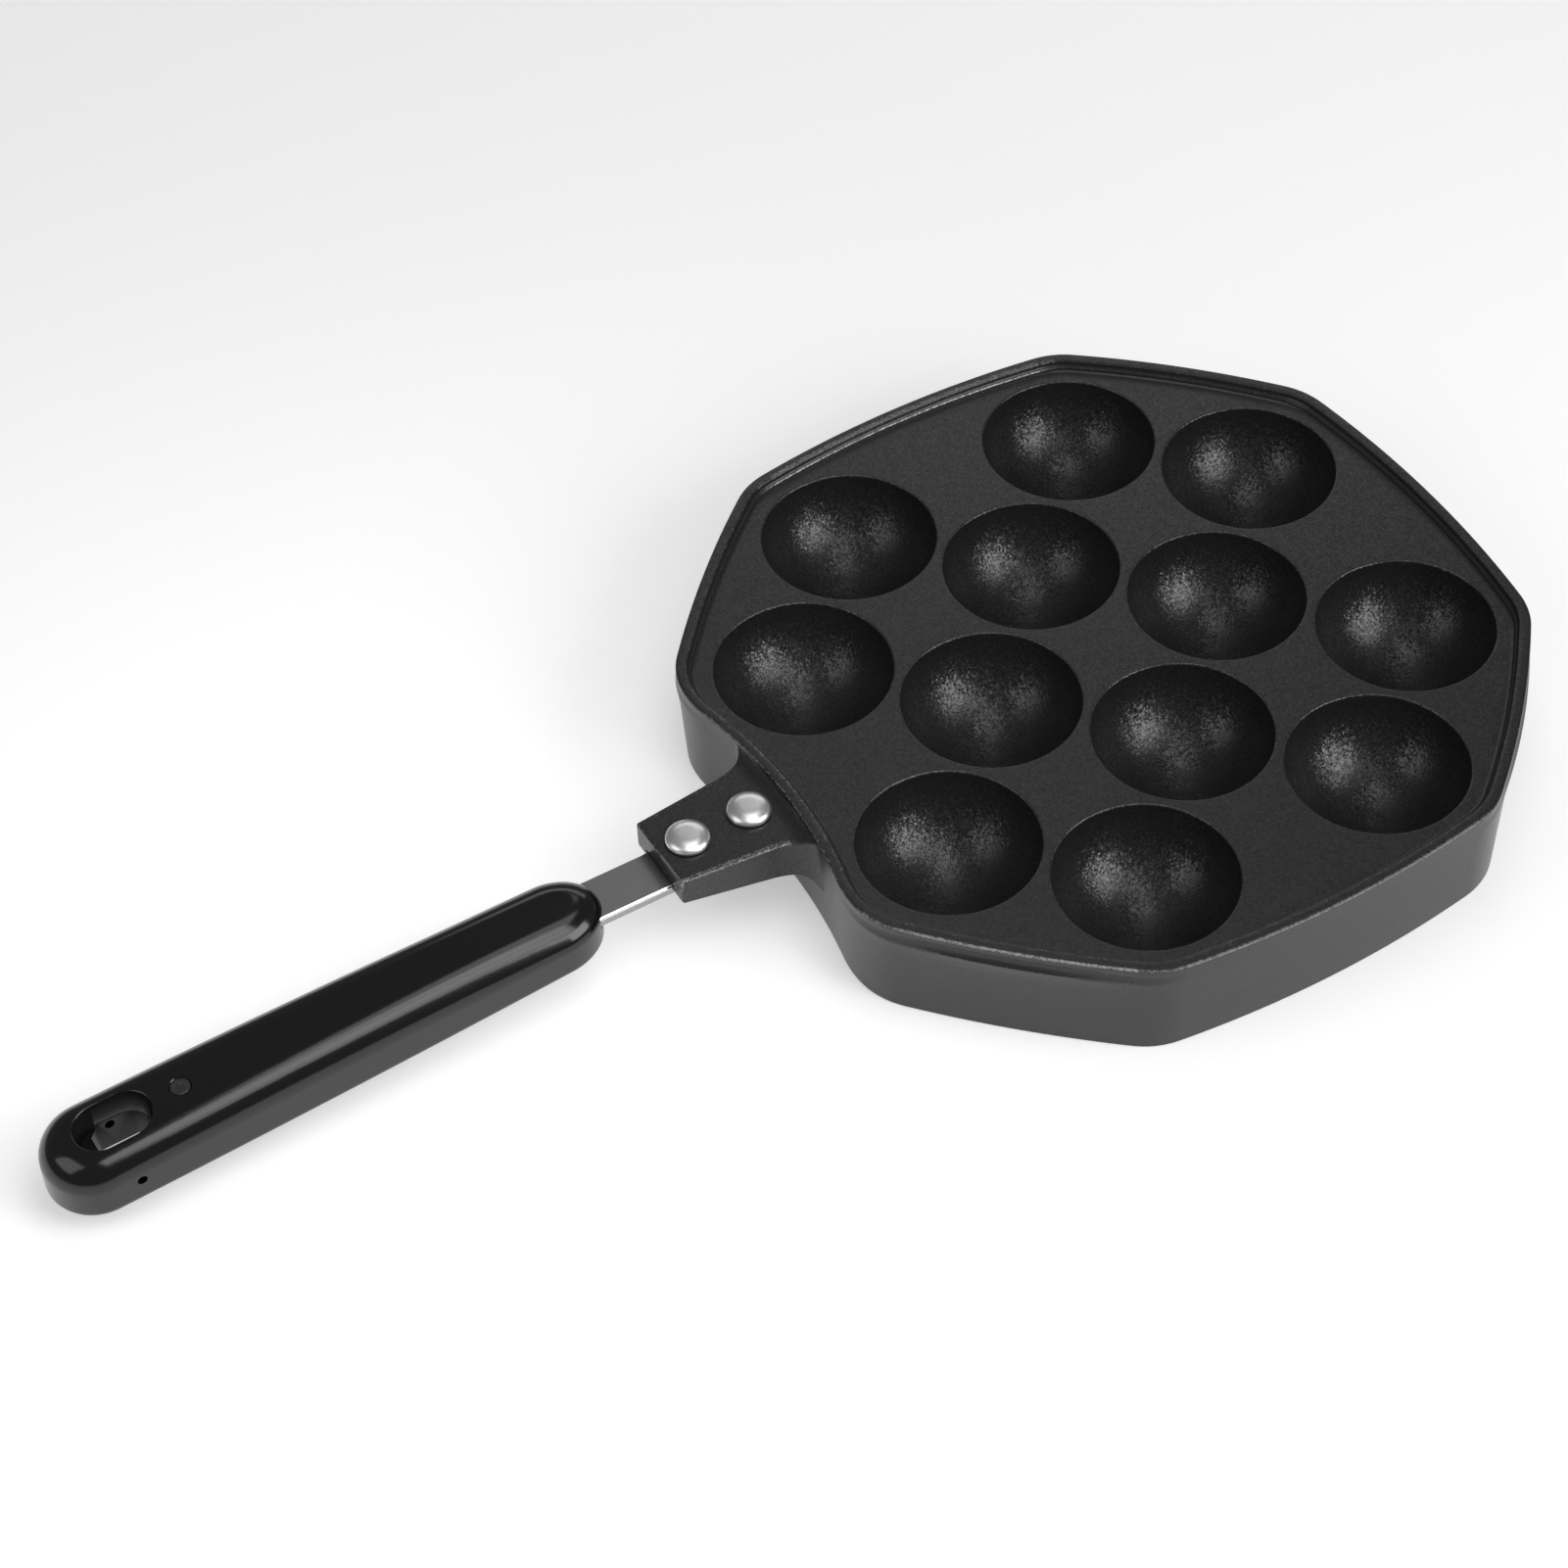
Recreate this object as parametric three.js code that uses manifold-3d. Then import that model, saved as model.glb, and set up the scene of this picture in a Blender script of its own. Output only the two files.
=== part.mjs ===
import * as THREE from 'three';
import { mergeVertices } from 'three/addons/utils/BufferGeometryUtils.js';
import Module from 'manifold-3d';

// Takoyaki pan: a cast pan with twelve round cups, a riveted steel tang and a moulded grip.
// Millimetres, +Z up. The pan stands on z = 0 and its handle points towards minus X.
// Inside this file x = 0 is the pan's centre. The finished group is moved so that the
// origin lies under the middle of the whole object.

// Gaps and cuts
const fitGap = 0.3;
const cutOverrun = 2;

// Cups
const cupPitch = 46;
const cupMouthRadius = 21.6;
const cupDepth = 19.5;
const cupWall = 2.4;
const cupLip = 0.6;
const cupAboveFloor = 4.9;

// Plate and rim
const plateThickness = 3;
const rimRise = 2.4;
const rimWidth = 2.85;
const rimStepRise = 1.1;
const rimStepWidth = 0.8;
const rimEdgeBreak = 0.3;
const rimCornerRadius = 22;

// Cooking face left between the outer cups and the rim, at the middle of each side
const flankLand = 7;
const frontLand = 6.5;
const handleLand = 1;
const frontDiagonalLand = 6.35;
const rearDiagonalLand = 6.65;

// How far each side bows out at its middle, at the rim and at the foot; the handle side bows in
const flankBow = 3.9;
const flankFootBow = 3.75;
const frontBow = 3.85;
const handleBow = -6.35;
const handleFootBow = -5.9;
const diagonalBow = 2.1;
const frontDiagonalFootBow = 0.7;
const rearDiagonalFootBow = 1.8;

// Skirt wall
const skirtWall = 3;
const flankDraft = 1.7;
const frontDraft = 1.6;
const handleDraft = 1.1;
const frontDiagonalDraft = 1.1;
const rearDiagonalDraft = 1.5;
const ledgeReach = 0.6;
const ledgeGroove = 0.4;
const ledgeDrop = 2.2;
const ledgeBand = 2.4;

// Tang, a flat steel strap
const tangWidth = 12.4;
const tangThickness = 2.95;
const tangBendAngle = THREE.MathUtils.degToRad(2.3);
const tangBendInsideGrip = 4;

// Tab, cast with the pan, that carries the tang in a channel under it
const tabLength = 32.7;
const tabDrop = 0.2;
const tabSlab = 5.1;
const tabLipWidth = 4.3;
const tabWidening = 3.1;
const tabEndDepth = 7.4;
const tabRootDepth = 11.9;
const tabRootRun = 9;
const tabRootFlare = 6.5;
const tabRootSetback = 1;
const tabCornerRadius = 1;
const tabHeel = 1;

// Rivets
const rivetInnerShare = 0.734;
const rivetOuterShare = 0.234;
const rivetHeadRadius = 5.35;
const rivetEdgeHeight = 0.4;
const rivetDomeHeight = 1.8;
const rivetFlatRadius = 1.7;
const rivetShankRadius = 2.5;
const rivetTailRadius = 4.25;
const rivetTailHeight = 1.6;

// Grip
const bareTang = 16.4;
const gripLength = 139.15;
const gripNoseLength = 12.3;
const gripNoseCheek = 3.78;
const gripRearCheek = 5.9;
const gripTopRadius = 4.3;
const gripBottomRadius = 2.4;
const gripCrown = 0.4;
const gripStationShares = [0.075, 0.47, 0.872];
const gripCover = [3.83, 2.98, 0.43];
const gripUnder = [6.57, 9.67, 11.92];

// Hanging hole through the rear of the grip, and the small hole across it
const hangHalfLength = 9.1;
const hangHalfWidth = 6.2;
const hangMouthFlare = 0.45;
const hangRearWeb = 8.75;
const hangMouthDepth = 7.4;
const throatFrontInset = 0.9;
const throatRearInset = 4.7;
const throatChamfer = 2;
const crossHoleRadius = 1.2;
const crossHoleLead = 0.45;
const crossHoleHeightShare = 0.47;

// Pin that holds the grip on the tang
const pinSetback = 7.3;
const pinHeadRadius = 2.3;
const pinHeadHeight = 2.2;
const pinRecess = 0.25;
const pinShankRadius = 1.6;
const pinTipBelowTang = 2.5;
const tangPastPin = 4.5;

// Numbers of points, not sizes
const squareSideSteps = 8;
const diagonalSideSteps = 4;
const cornerSteps = 4;
const cupSides = 24;
const cupRings = 6;
const bowlSides = 20;
const bowlRings = 4;
const rivetSides = 24;
const domeRings = 4;
const gripEndSteps = 12;
const gripSideSteps = 8;
const filletSteps = 4;
const holeSides = 24;

// Heights and places that follow from the sizes above
const plateHeight = cupAboveFloor + cupWall + cupDepth;
const rimHeight = plateHeight + rimRise;
const outerCupDistance = cupPitch * Math.SQRT2;
const outerCupEdge = outerCupDistance + cupMouthRadius;
const diagonalCupEdge = 1.5 * cupPitch + cupMouthRadius;
const flankReach = outerCupEdge + flankLand + rimWidth;
const frontReach = outerCupEdge + frontLand + rimWidth;
const handleReach = outerCupEdge + handleLand + rimWidth;
const frontDiagonalReach = diagonalCupEdge + frontDiagonalLand + rimWidth;
const rearDiagonalReach = diagonalCupEdge + rearDiagonalLand + rimWidth;

const tabTop = plateHeight - tabDrop;
const tabRootX = -handleReach;
const tabEndX = tabRootX - tabLength;
const tabEndHalfWidth = tangWidth / 2 + fitGap + tabLipWidth;
const channelEndX = tabRootX - tabHeel;
const tangStartX = channelEndX - fitGap;
const tangTop = tabTop - tabSlab - fitGap;
const tangBottom = tangTop - tangThickness;

const gripNoseX = tabEndX - bareTang;
const gripEndX = gripNoseX - gripLength;
const gripHalfWidths = [tangWidth / 2 + fitGap + gripNoseCheek, hangHalfWidth + gripRearCheek];
const hangX = gripEndX + hangRearWeb + hangHalfLength;
const pinX = hangX + hangHalfLength + pinSetback;
const tangEndX = pinX - tangPastPin;
const tangBendX = gripNoseX - tangBendInsideGrip;

const wasm = await Module();
wasm.setup();

// Turn a closed geometry into a solid that can be joined and cut.
function solidFrom(geometry) {
  geometry.deleteAttribute('normal');
  geometry.deleteAttribute('uv');
  const welded = mergeVertices(geometry);
  return new wasm.Manifold(new wasm.Mesh({
    numProp: 3,
    vertProperties: Float32Array.from(welded.getAttribute('position').array),
    triVerts: Uint32Array.from(welded.index.array),
  }));
}

// Turn a solid back into a geometry.
function geometryFrom(solid) {
  const mesh = solid.getMesh();
  const geometry = new THREE.BufferGeometry();
  geometry.setAttribute('position', new THREE.BufferAttribute(mesh.vertProperties, 3));
  geometry.setIndex(new THREE.BufferAttribute(mesh.triVerts, 1));
  geometry.computeVertexNormals();
  return geometry;
}

// Closed skin through a stack of rings with equal point counts, counterclockwise seen from above.
function loft(rings) {
  const count = rings[0].length;
  const positions = rings.flat().flatMap((point) => [point.x, point.y, point.z]);
  const faces = [];
  for (let level = 0; level < rings.length - 1; level += 1) {
    for (let i = 0; i < count; i += 1) {
      const low = level * count + i;
      const lowNext = level * count + ((i + 1) % count);
      faces.push(low, lowNext, lowNext + count);
      faces.push(low, lowNext + count, low + count);
    }
  }
  const flat = (ring) => ring.map((point) => new THREE.Vector2(point.x, point.y));
  const topStart = (rings.length - 1) * count;
  for (const [a, b, c] of THREE.ShapeUtils.triangulateShape(flat(rings[0]), [])) {
    faces.push(a, c, b);
  }
  for (const [a, b, c] of THREE.ShapeUtils.triangulateShape(flat(rings.at(-1)), [])) {
    faces.push(topStart + a, topStart + b, topStart + c);
  }
  const geometry = new THREE.BufferGeometry();
  geometry.setAttribute('position', new THREE.Float32BufferAttribute(positions, 3));
  geometry.setIndex(faces);
  return geometry;
}

function ringAt(outline, height) {
  return outline.map((point) => new THREE.Vector3(point.x, point.y, height));
}

// Solid of revolution about the vertical line through x, y.
function turned(profile, sides, x, y) {
  const points = profile.map(([radius, height]) => new THREE.Vector2(radius, height));
  const geometry = new THREE.LatheGeometry(points, sides);
  geometry.rotateX(Math.PI / 2);
  geometry.translate(x, y, 0);
  return solidFrom(geometry);
}

// Extruded outline standing on a height.
function risen(shape, bottom, top) {
  const geometry = new THREE.ExtrudeGeometry(shape, {
    depth: top - bottom,
    bevelEnabled: false,
    curveSegments: holeSides / 4,
  });
  geometry.translate(0, 0, bottom);
  return solidFrom(geometry);
}

// Outline given in x and z, extruded along Y to both sides of the middle plane.
function sideExtrusion(corners, halfWidth) {
  const shape = new THREE.Shape(corners.map(([x, z]) => new THREE.Vector2(x, z)));
  const geometry = new THREE.ExtrudeGeometry(shape, { depth: 2 * halfWidth, bevelEnabled: false });
  geometry.rotateX(Math.PI / 2);
  geometry.translate(0, halfWidth, 0);
  return solidFrom(geometry);
}

// The kinds of side. Only the diagonal sides carry a ledge under the rim.
const squareSide = { ledge: false, steps: squareSideSteps };
const slantSide = { ledge: true, steps: diagonalSideSteps, bow: diagonalBow };
const frontSide = {
  ...squareSide, reach: frontReach, bow: frontBow, draft: frontDraft, footBow: frontBow,
};
const flankSide = {
  ...squareSide, reach: flankReach, bow: flankBow, draft: flankDraft, footBow: flankFootBow,
};
const handleSide = {
  ...squareSide, reach: handleReach, bow: handleBow, draft: handleDraft, footBow: handleFootBow,
};
const frontDiagonal = {
  ...slantSide, reach: frontDiagonalReach, draft: frontDiagonalDraft, footBow: frontDiagonalFootBow,
};
const rearDiagonal = {
  ...slantSide, reach: rearDiagonalReach, draft: rearDiagonalDraft, footBow: rearDiagonalFootBow,
};

// The pan's eight sides, counterclockwise from the front, 45 degrees apart.
const panSides = [
  frontSide, frontDiagonal, flankSide, rearDiagonal, handleSide, rearDiagonal, flankSide, frontDiagonal,
];

// A side's line at a share of the way down from the rim to the foot.
function lineDown(share) {
  return (side) => ({
    reach: side.reach - side.draft * share,
    bow: THREE.MathUtils.lerp(side.bow, side.footBow, share),
  });
}

// The same line, but on the diagonal sides swollen from the rim line, most at the middle.
function ledgeLine(share, swell) {
  const plainLine = lineDown(share);
  return (side) => (side.ledge ? { reach: side.reach + swell, bow: side.bow + swell } : plainLine(side));
}

function crossingOf(pointA, directionA, pointB, directionB) {
  const between = pointB.clone().sub(pointA);
  const distance = between.cross(directionB) / directionA.cross(directionB);
  return pointA.clone().addScaledVector(directionA, distance);
}

// Pan outline through the sides' lines, moved in by an inset.
function panOutline(lineOf, inset) {
  const sides = panSides.map((side, i) => {
    const normal = new THREE.Vector2(Math.cos(i * Math.PI / 4), Math.sin(i * Math.PI / 4));
    const along = new THREE.Vector2(-normal.y, normal.x);
    const { reach, bow } = lineOf(side);
    const foot = normal.clone().multiplyScalar(reach - bow - inset);
    return { normal, along, bow, foot, steps: side.steps };
  });
  const corners = sides.map((side, i) => {
    const next = sides[(i + 1) % sides.length];
    return crossingOf(side.foot, side.along, next.foot, next.along);
  });
  const runs = sides.map((side, i) => {
    const start = corners.at(i - 1);
    const end = corners[i];
    const middle = start.clone().add(end).multiplyScalar(0.5);
    const half = start.distanceTo(end) / 2;
    const at = (share) => middle.clone()
      .addScaledVector(side.along, half * share)
      .addScaledVector(side.normal, side.bow * (1 - share * share));
    const heading = (share) => side.along.clone().multiplyScalar(half)
      .addScaledVector(side.normal, -2 * side.bow * share);
    return { at, heading, half, steps: side.steps };
  });
  const trims = runs.map((run, i) => {
    const leaving = run.heading(1);
    const entering = runs[(i + 1) % runs.length].heading(-1);
    const turn = Math.atan2(leaving.cross(entering), leaving.dot(entering));
    return (rimCornerRadius - inset) * Math.tan(turn / 2);
  });
  const outline = [];
  runs.forEach((run, i) => {
    const next = runs[(i + 1) % runs.length];
    const first = trims.at(i - 1) / run.half - 1;
    const last = 1 - trims[i] / run.half;
    const nextFirst = trims[i] / next.half - 1;
    for (let step = 0; step < run.steps; step += 1) {
      outline.push(run.at(THREE.MathUtils.lerp(first, last, step / run.steps)));
    }
    const leave = run.at(last);
    const enter = next.at(nextFirst);
    const control = crossingOf(leave, run.heading(last), enter, next.heading(nextFirst));
    const corner = new THREE.QuadraticBezierCurve(leave, control, enter);
    outline.push(...corner.getPoints(cornerSteps).slice(0, -1));
  });
  return outline;
}

// Centres of the twelve cups: a four by four grid without its corners, turned by 45 degrees.
function cupCentres() {
  const centres = [];
  const rows = [-1.5, -0.5, 0.5, 1.5];
  for (const across of rows) {
    for (const along of rows) {
      if (Math.abs(across) + Math.abs(along) < 3) {
        centres.push([
          (across + along) * cupPitch * Math.SQRT1_2,
          (along - across) * cupPitch * Math.SQRT1_2,
        ]);
      }
    }
  }
  return centres;
}

const cupSphereRadius = (cupMouthRadius ** 2 + cupDepth ** 2) / (2 * cupDepth);
const cupSphereHeight = plateHeight - cupDepth + cupSphereRadius;

// Points of a bowl's profile from its lowest point up to a given height.
function bowlProfile(radius, topHeight, rings) {
  const topAngle = Math.acos(THREE.MathUtils.clamp((cupSphereHeight - topHeight) / radius, -1, 1));
  const points = [];
  for (let ring = 0; ring <= rings; ring += 1) {
    const angle = topAngle * ring / rings;
    points.push([radius * Math.sin(angle), cupSphereHeight - radius * Math.cos(angle)]);
  }
  points[0][0] = 0;
  return points;
}

function cupCavity(x, y) {
  const profile = bowlProfile(cupSphereRadius, plateHeight - cupLip, cupRings);
  profile.push([cupMouthRadius + cupLip * Math.SQRT1_2 / 2, plateHeight - cupLip * (1 - Math.SQRT1_2)]);
  profile.push([cupMouthRadius + cupLip, plateHeight]);
  profile.push([cupMouthRadius + cupLip, rimHeight + cutOverrun]);
  profile.push([0, rimHeight + cutOverrun]);
  return turned(profile, cupSides, x, y);
}

function cupBowl(x, y) {
  const seamHeight = plateHeight - plateThickness / 2;
  const profile = bowlProfile(cupSphereRadius + cupWall, seamHeight, bowlRings);
  profile.push([0, seamHeight]);
  return turned(profile, bowlSides, x, y);
}

function tabHalfWidthAt(x) {
  return tabEndHalfWidth + tabWidening * (x - tabEndX) / tabLength;
}

// Tab plan: sides that widen towards the pan, small outer corners and a hollow flare at the root.
function tabPlan() {
  const insideX = tabRootX + skirtWall;
  const wallX = tabRootX - tabRootSetback;
  const flareX = tabRootX - tabRootRun;
  const wallHalf = tabHalfWidthAt(wallX);
  const flareHalf = wallHalf + tabRootFlare;
  const shape = new THREE.Shape();
  shape.moveTo(insideX, flareHalf);
  shape.lineTo(wallX, flareHalf);
  shape.quadraticCurveTo(wallX, wallHalf, flareX, tabHalfWidthAt(flareX));
  shape.lineTo(tabEndX + tabCornerRadius, tabHalfWidthAt(tabEndX + tabCornerRadius));
  shape.quadraticCurveTo(tabEndX, tabEndHalfWidth, tabEndX, tabEndHalfWidth - tabCornerRadius);
  shape.lineTo(tabEndX, tabCornerRadius - tabEndHalfWidth);
  shape.quadraticCurveTo(
    tabEndX, -tabEndHalfWidth, tabEndX + tabCornerRadius, -tabHalfWidthAt(tabEndX + tabCornerRadius),
  );
  shape.lineTo(flareX, -tabHalfWidthAt(flareX));
  shape.quadraticCurveTo(wallX, -wallHalf, wallX, -flareHalf);
  shape.lineTo(insideX, -flareHalf);
  shape.closePath();
  return shape;
}

function tabSolid() {
  const insideX = tabRootX + skirtWall;
  const gussetHalf = tabHalfWidthAt(tabRootX) + tabRootFlare + cutOverrun;
  const gusset = sideExtrusion([
    [insideX, tabTop - tabRootDepth],
    [insideX, tabTop],
    [tabEndX - cutOverrun, tabTop],
    [tabEndX - cutOverrun, tabTop - tabEndDepth],
    [tabEndX, tabTop - tabEndDepth],
    [tabRootX, tabTop - tabRootDepth],
  ], gussetHalf);
  return risen(tabPlan(), tabTop - tabRootDepth, tabTop).intersect(gusset);
}

function tabChannel() {
  return sideExtrusion([
    [tabEndX - cutOverrun, tabTop - tabRootDepth - cutOverrun],
    [channelEndX, tabTop - tabRootDepth - cutOverrun],
    [channelEndX, tabTop - tabSlab],
    [tabEndX - cutOverrun, tabTop - tabSlab],
  ], tangWidth / 2 + fitGap);
}

const rivetPlaces = {
  rivet_inner: tabEndX + tabLength * rivetInnerShare,
  rivet_outer: tabEndX + tabLength * rivetOuterShare,
};

// Plain round cut standing on a height.
function roundCut(radius, bottom, top, x) {
  return turned([[0, bottom], [radius, bottom], [radius, top], [0, top]], holeSides, x, 0);
}

function panBody() {
  const ledgeTop = rimHeight - ledgeDrop;
  const ledgeRidge = ledgeTop - ledgeBand;
  const ridgeShare = 1 - ledgeRidge / rimHeight;
  const pocketTopShare = 1 - (plateHeight - plateThickness) / rimHeight;
  const rimLine = lineDown(0);
  const footLine = lineDown(1);
  const outside = loft([
    ringAt(panOutline(footLine, 0), 0),
    ringAt(panOutline(ledgeLine(ridgeShare, ledgeReach), 0), ledgeRidge),
    ringAt(panOutline(ledgeLine(0, -ledgeGroove), 0), ledgeTop),
    ringAt(panOutline(rimLine, 0), ledgeTop + ledgeGroove),
    ringAt(panOutline(rimLine, 0), rimHeight - rimEdgeBreak),
    ringAt(panOutline(rimLine, rimEdgeBreak), rimHeight),
  ]);
  const stepInset = rimWidth + rimStepWidth;
  const pocket = loft([
    ringAt(panOutline(rimLine, stepInset), plateHeight),
    ringAt(panOutline(rimLine, stepInset), plateHeight + rimStepRise),
    ringAt(panOutline(rimLine, rimWidth), plateHeight + rimStepRise),
    ringAt(panOutline(rimLine, rimWidth), rimHeight + cutOverrun),
  ]);
  const underside = loft([
    ringAt(panOutline(footLine, skirtWall), -cutOverrun),
    ringAt(panOutline(footLine, skirtWall), 0),
    ringAt(panOutline(lineDown(pocketTopShare), skirtWall), plateHeight - plateThickness),
  ]);
  let pan = solidFrom(outside).subtract(solidFrom(pocket)).subtract(solidFrom(underside));
  pan = pan.add(tabSolid()).subtract(tabChannel());
  for (const [x, y] of cupCentres()) {
    pan = pan.add(cupBowl(x, y));
  }
  for (const [x, y] of cupCentres()) {
    pan = pan.subtract(cupCavity(x, y));
  }
  for (const x of Object.values(rivetPlaces)) {
    pan = pan.subtract(roundCut(rivetShankRadius + fitGap, tangBottom, tabTop + cutOverrun, x));
  }
  return pan;
}

// Side view of the tang: level through the tab, then bent down to follow the grip.
function tangSide(grow) {
  const slope = Math.tan(tangBendAngle);
  const endDrop = slope * (tangBendX - tangEndX + grow);
  return [
    [tangStartX + grow, tangBottom - grow],
    [tangStartX + grow, tangTop + grow],
    [tangBendX, tangTop + grow],
    [tangEndX - grow, tangTop + grow - endDrop],
    [tangEndX - grow, tangBottom - grow - endDrop],
    [tangBendX, tangBottom - grow],
  ];
}

// The tang's top face at the place x.
function tangTopAt(x) {
  return tangTop - Math.tan(tangBendAngle) * Math.max(tangBendX - x, 0);
}

function handleTang() {
  let tang = sideExtrusion(tangSide(0), tangWidth / 2);
  for (const x of Object.values(rivetPlaces)) {
    tang = tang.subtract(roundCut(rivetShankRadius + fitGap, 0, rimHeight, x));
  }
  return tang.subtract(roundCut(pinShankRadius + fitGap, 0, rimHeight, pinX));
}

function rivet(x) {
  const seat = tabTop + fitGap;
  const tailTop = tangBottom - fitGap;
  const profile = [
    [0, tailTop - rivetTailHeight],
    [rivetTailRadius, tailTop - rivetTailHeight],
    [rivetTailRadius, tailTop],
    [rivetShankRadius, tailTop],
    [rivetShankRadius, seat],
    [rivetHeadRadius, seat],
  ];
  for (let ring = 0; ring <= domeRings; ring += 1) {
    const angle = Math.PI / 2 * ring / domeRings;
    profile.push([
      rivetFlatRadius + (rivetHeadRadius - rivetFlatRadius) * Math.cos(angle),
      seat + rivetEdgeHeight + rivetDomeHeight * Math.sin(angle),
    ]);
  }
  profile.push([0, seat + rivetEdgeHeight + rivetDomeHeight]);
  return turned(profile, rivetSides, x, 0);
}

// Value of the parabola through the grip's three stations, at a share of its length.
function alongGrip(share, values) {
  return values.reduce((sum, value, i) => {
    const others = gripStationShares.filter((_, j) => j !== i);
    const weight = others.reduce((w, other) => w * (share - other) / (gripStationShares[i] - other), 1);
    return sum + value * weight;
  }, 0);
}

function gripShareAt(x) {
  return (gripNoseX - x) / gripLength;
}

function gripTopAt(x) {
  return tangTop + alongGrip(gripShareAt(x), gripCover);
}

function gripBottomAt(x) {
  return tangBottom - alongGrip(gripShareAt(x), gripUnder);
}

function gripHalfWidthAt(x) {
  const [noseShare, , rearShare] = gripStationShares;
  const run = (gripShareAt(x) - noseShare) / (rearShare - noseShare);
  return THREE.MathUtils.lerp(gripHalfWidths[0], gripHalfWidths[1], run);
}

// Grip plan moved in by an inset: an elliptic nose, tapering sides and a round rear end.
function gripOutline(inset) {
  const noseLength = gripNoseLength - inset;
  const rearRadius = gripHalfWidths[1] - inset;
  const noseStart = gripNoseX - inset - noseLength;
  const rearStart = gripEndX + inset + rearRadius;
  const halfWidth = (x) => gripHalfWidthAt(x) - inset;
  const outline = [];
  for (let step = 0; step <= gripEndSteps; step += 1) {
    const angle = Math.PI * (step / gripEndSteps - 0.5);
    const x = noseStart + noseLength * Math.cos(angle);
    outline.push(new THREE.Vector2(x, halfWidth(x) * Math.sin(angle)));
  }
  for (let step = 1; step < gripSideSteps; step += 1) {
    const x = THREE.MathUtils.lerp(noseStart, rearStart, step / gripSideSteps);
    outline.push(new THREE.Vector2(x, halfWidth(x)));
  }
  for (let step = 0; step <= gripEndSteps; step += 1) {
    const angle = Math.PI * (step / gripEndSteps + 0.5);
    const x = rearStart + rearRadius * Math.cos(angle);
    outline.push(new THREE.Vector2(x, halfWidth(x) * Math.sin(angle)));
  }
  for (let step = 1; step < gripSideSteps; step += 1) {
    const x = THREE.MathUtils.lerp(rearStart, noseStart, step / gripSideSteps);
    outline.push(new THREE.Vector2(x, -halfWidth(x)));
  }
  return outline;
}

function gripRing(inset, heightAt) {
  return gripOutline(inset).map((point) => new THREE.Vector3(point.x, point.y, heightAt(point.x)));
}

function gripBlank() {
  const rings = [];
  for (let step = 0; step <= filletSteps; step += 1) {
    const angle = Math.PI / 2 * step / filletSteps;
    const rise = gripBottomRadius * (1 - Math.cos(angle));
    rings.push(gripRing(gripBottomRadius * (1 - Math.sin(angle)), (x) => gripBottomAt(x) + rise));
  }
  for (let step = 0; step <= filletSteps; step += 1) {
    const angle = Math.PI / 2 * step / filletSteps;
    const fall = gripTopRadius * (1 - Math.sin(angle));
    rings.push(gripRing(gripTopRadius * (1 - Math.cos(angle)), (x) => gripTopAt(x) - fall));
  }
  const crownInset = (gripHalfWidths[0] + gripTopRadius) / 2;
  rings.push(gripRing(crownInset, (x) => gripTopAt(x) + gripCrown));
  return solidFrom(loft(rings));
}

// Mouth of the hanging hole: straight sides and round ends.
function hangMouth(flare) {
  const radius = hangHalfWidth + flare;
  const half = hangHalfLength - hangHalfWidth;
  const shape = new THREE.Shape();
  shape.moveTo(hangX - half, -radius);
  shape.lineTo(hangX + half, -radius);
  shape.absarc(hangX + half, 0, radius, -Math.PI / 2, Math.PI / 2, false);
  shape.lineTo(hangX - half, radius);
  shape.absarc(hangX - half, 0, radius, Math.PI / 2, 3 * Math.PI / 2, false);
  return shape;
}

// Throat below the mouth: a shorter rectangle with cut corners.
function hangThroat() {
  const front = hangX + hangHalfLength - throatFrontInset;
  const rear = hangX - hangHalfLength + throatRearInset;
  const side = hangHalfWidth;
  return new THREE.Shape([
    new THREE.Vector2(rear, throatChamfer - side),
    new THREE.Vector2(rear + throatChamfer, -side),
    new THREE.Vector2(front - throatChamfer, -side),
    new THREE.Vector2(front, throatChamfer - side),
    new THREE.Vector2(front, side - throatChamfer),
    new THREE.Vector2(front - throatChamfer, side),
    new THREE.Vector2(rear + throatChamfer, side),
    new THREE.Vector2(rear, side - throatChamfer),
  ]);
}

function crossHole() {
  const low = gripBottomAt(hangX);
  const height = THREE.MathUtils.lerp(low, gripTopAt(hangX), crossHoleHeightShare);
  const length = 2 * (gripHalfWidths[1] + cutOverrun);
  const geometry = new THREE.CylinderGeometry(crossHoleRadius, crossHoleRadius, length, holeSides / 2);
  geometry.translate(hangX + crossHoleLead, 0, height);
  return solidFrom(geometry);
}

const pinHeadTop = gripTopAt(pinX) + gripCrown - pinRecess;
const pinHeadBottom = pinHeadTop - pinHeadHeight;
const pinTip = tangTopAt(pinX) - tangThickness - pinTipBelowTang;

// Profile of the pin, or of its hole when grown by a gap and opened upwards.
function pinProfile(grow, open) {
  return [
    [0, pinTip - grow],
    [pinShankRadius + grow, pinTip - grow],
    [pinShankRadius + grow, pinHeadBottom - grow],
    [pinHeadRadius + grow, pinHeadBottom - grow],
    [pinHeadRadius + grow, pinHeadTop + open],
    [0, pinHeadTop + open],
  ];
}

function handleGrip() {
  const ledge = gripTopAt(hangX) - hangMouthDepth;
  const clearTop = rimHeight + cutOverrun;
  const slot = sideExtrusion(tangSide(fitGap), tangWidth / 2 + fitGap);
  return gripBlank()
    .subtract(slot)
    .subtract(risen(hangMouth(0), ledge, clearTop))
    .subtract(risen(hangMouth(hangMouthFlare), gripTopAt(hangX) - hangMouthFlare, clearTop))
    .subtract(risen(hangThroat(), 0, ledge + cutOverrun))
    .subtract(crossHole())
    .subtract(turned(pinProfile(fitGap, cutOverrun), holeSides, pinX, 0));
}

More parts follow.
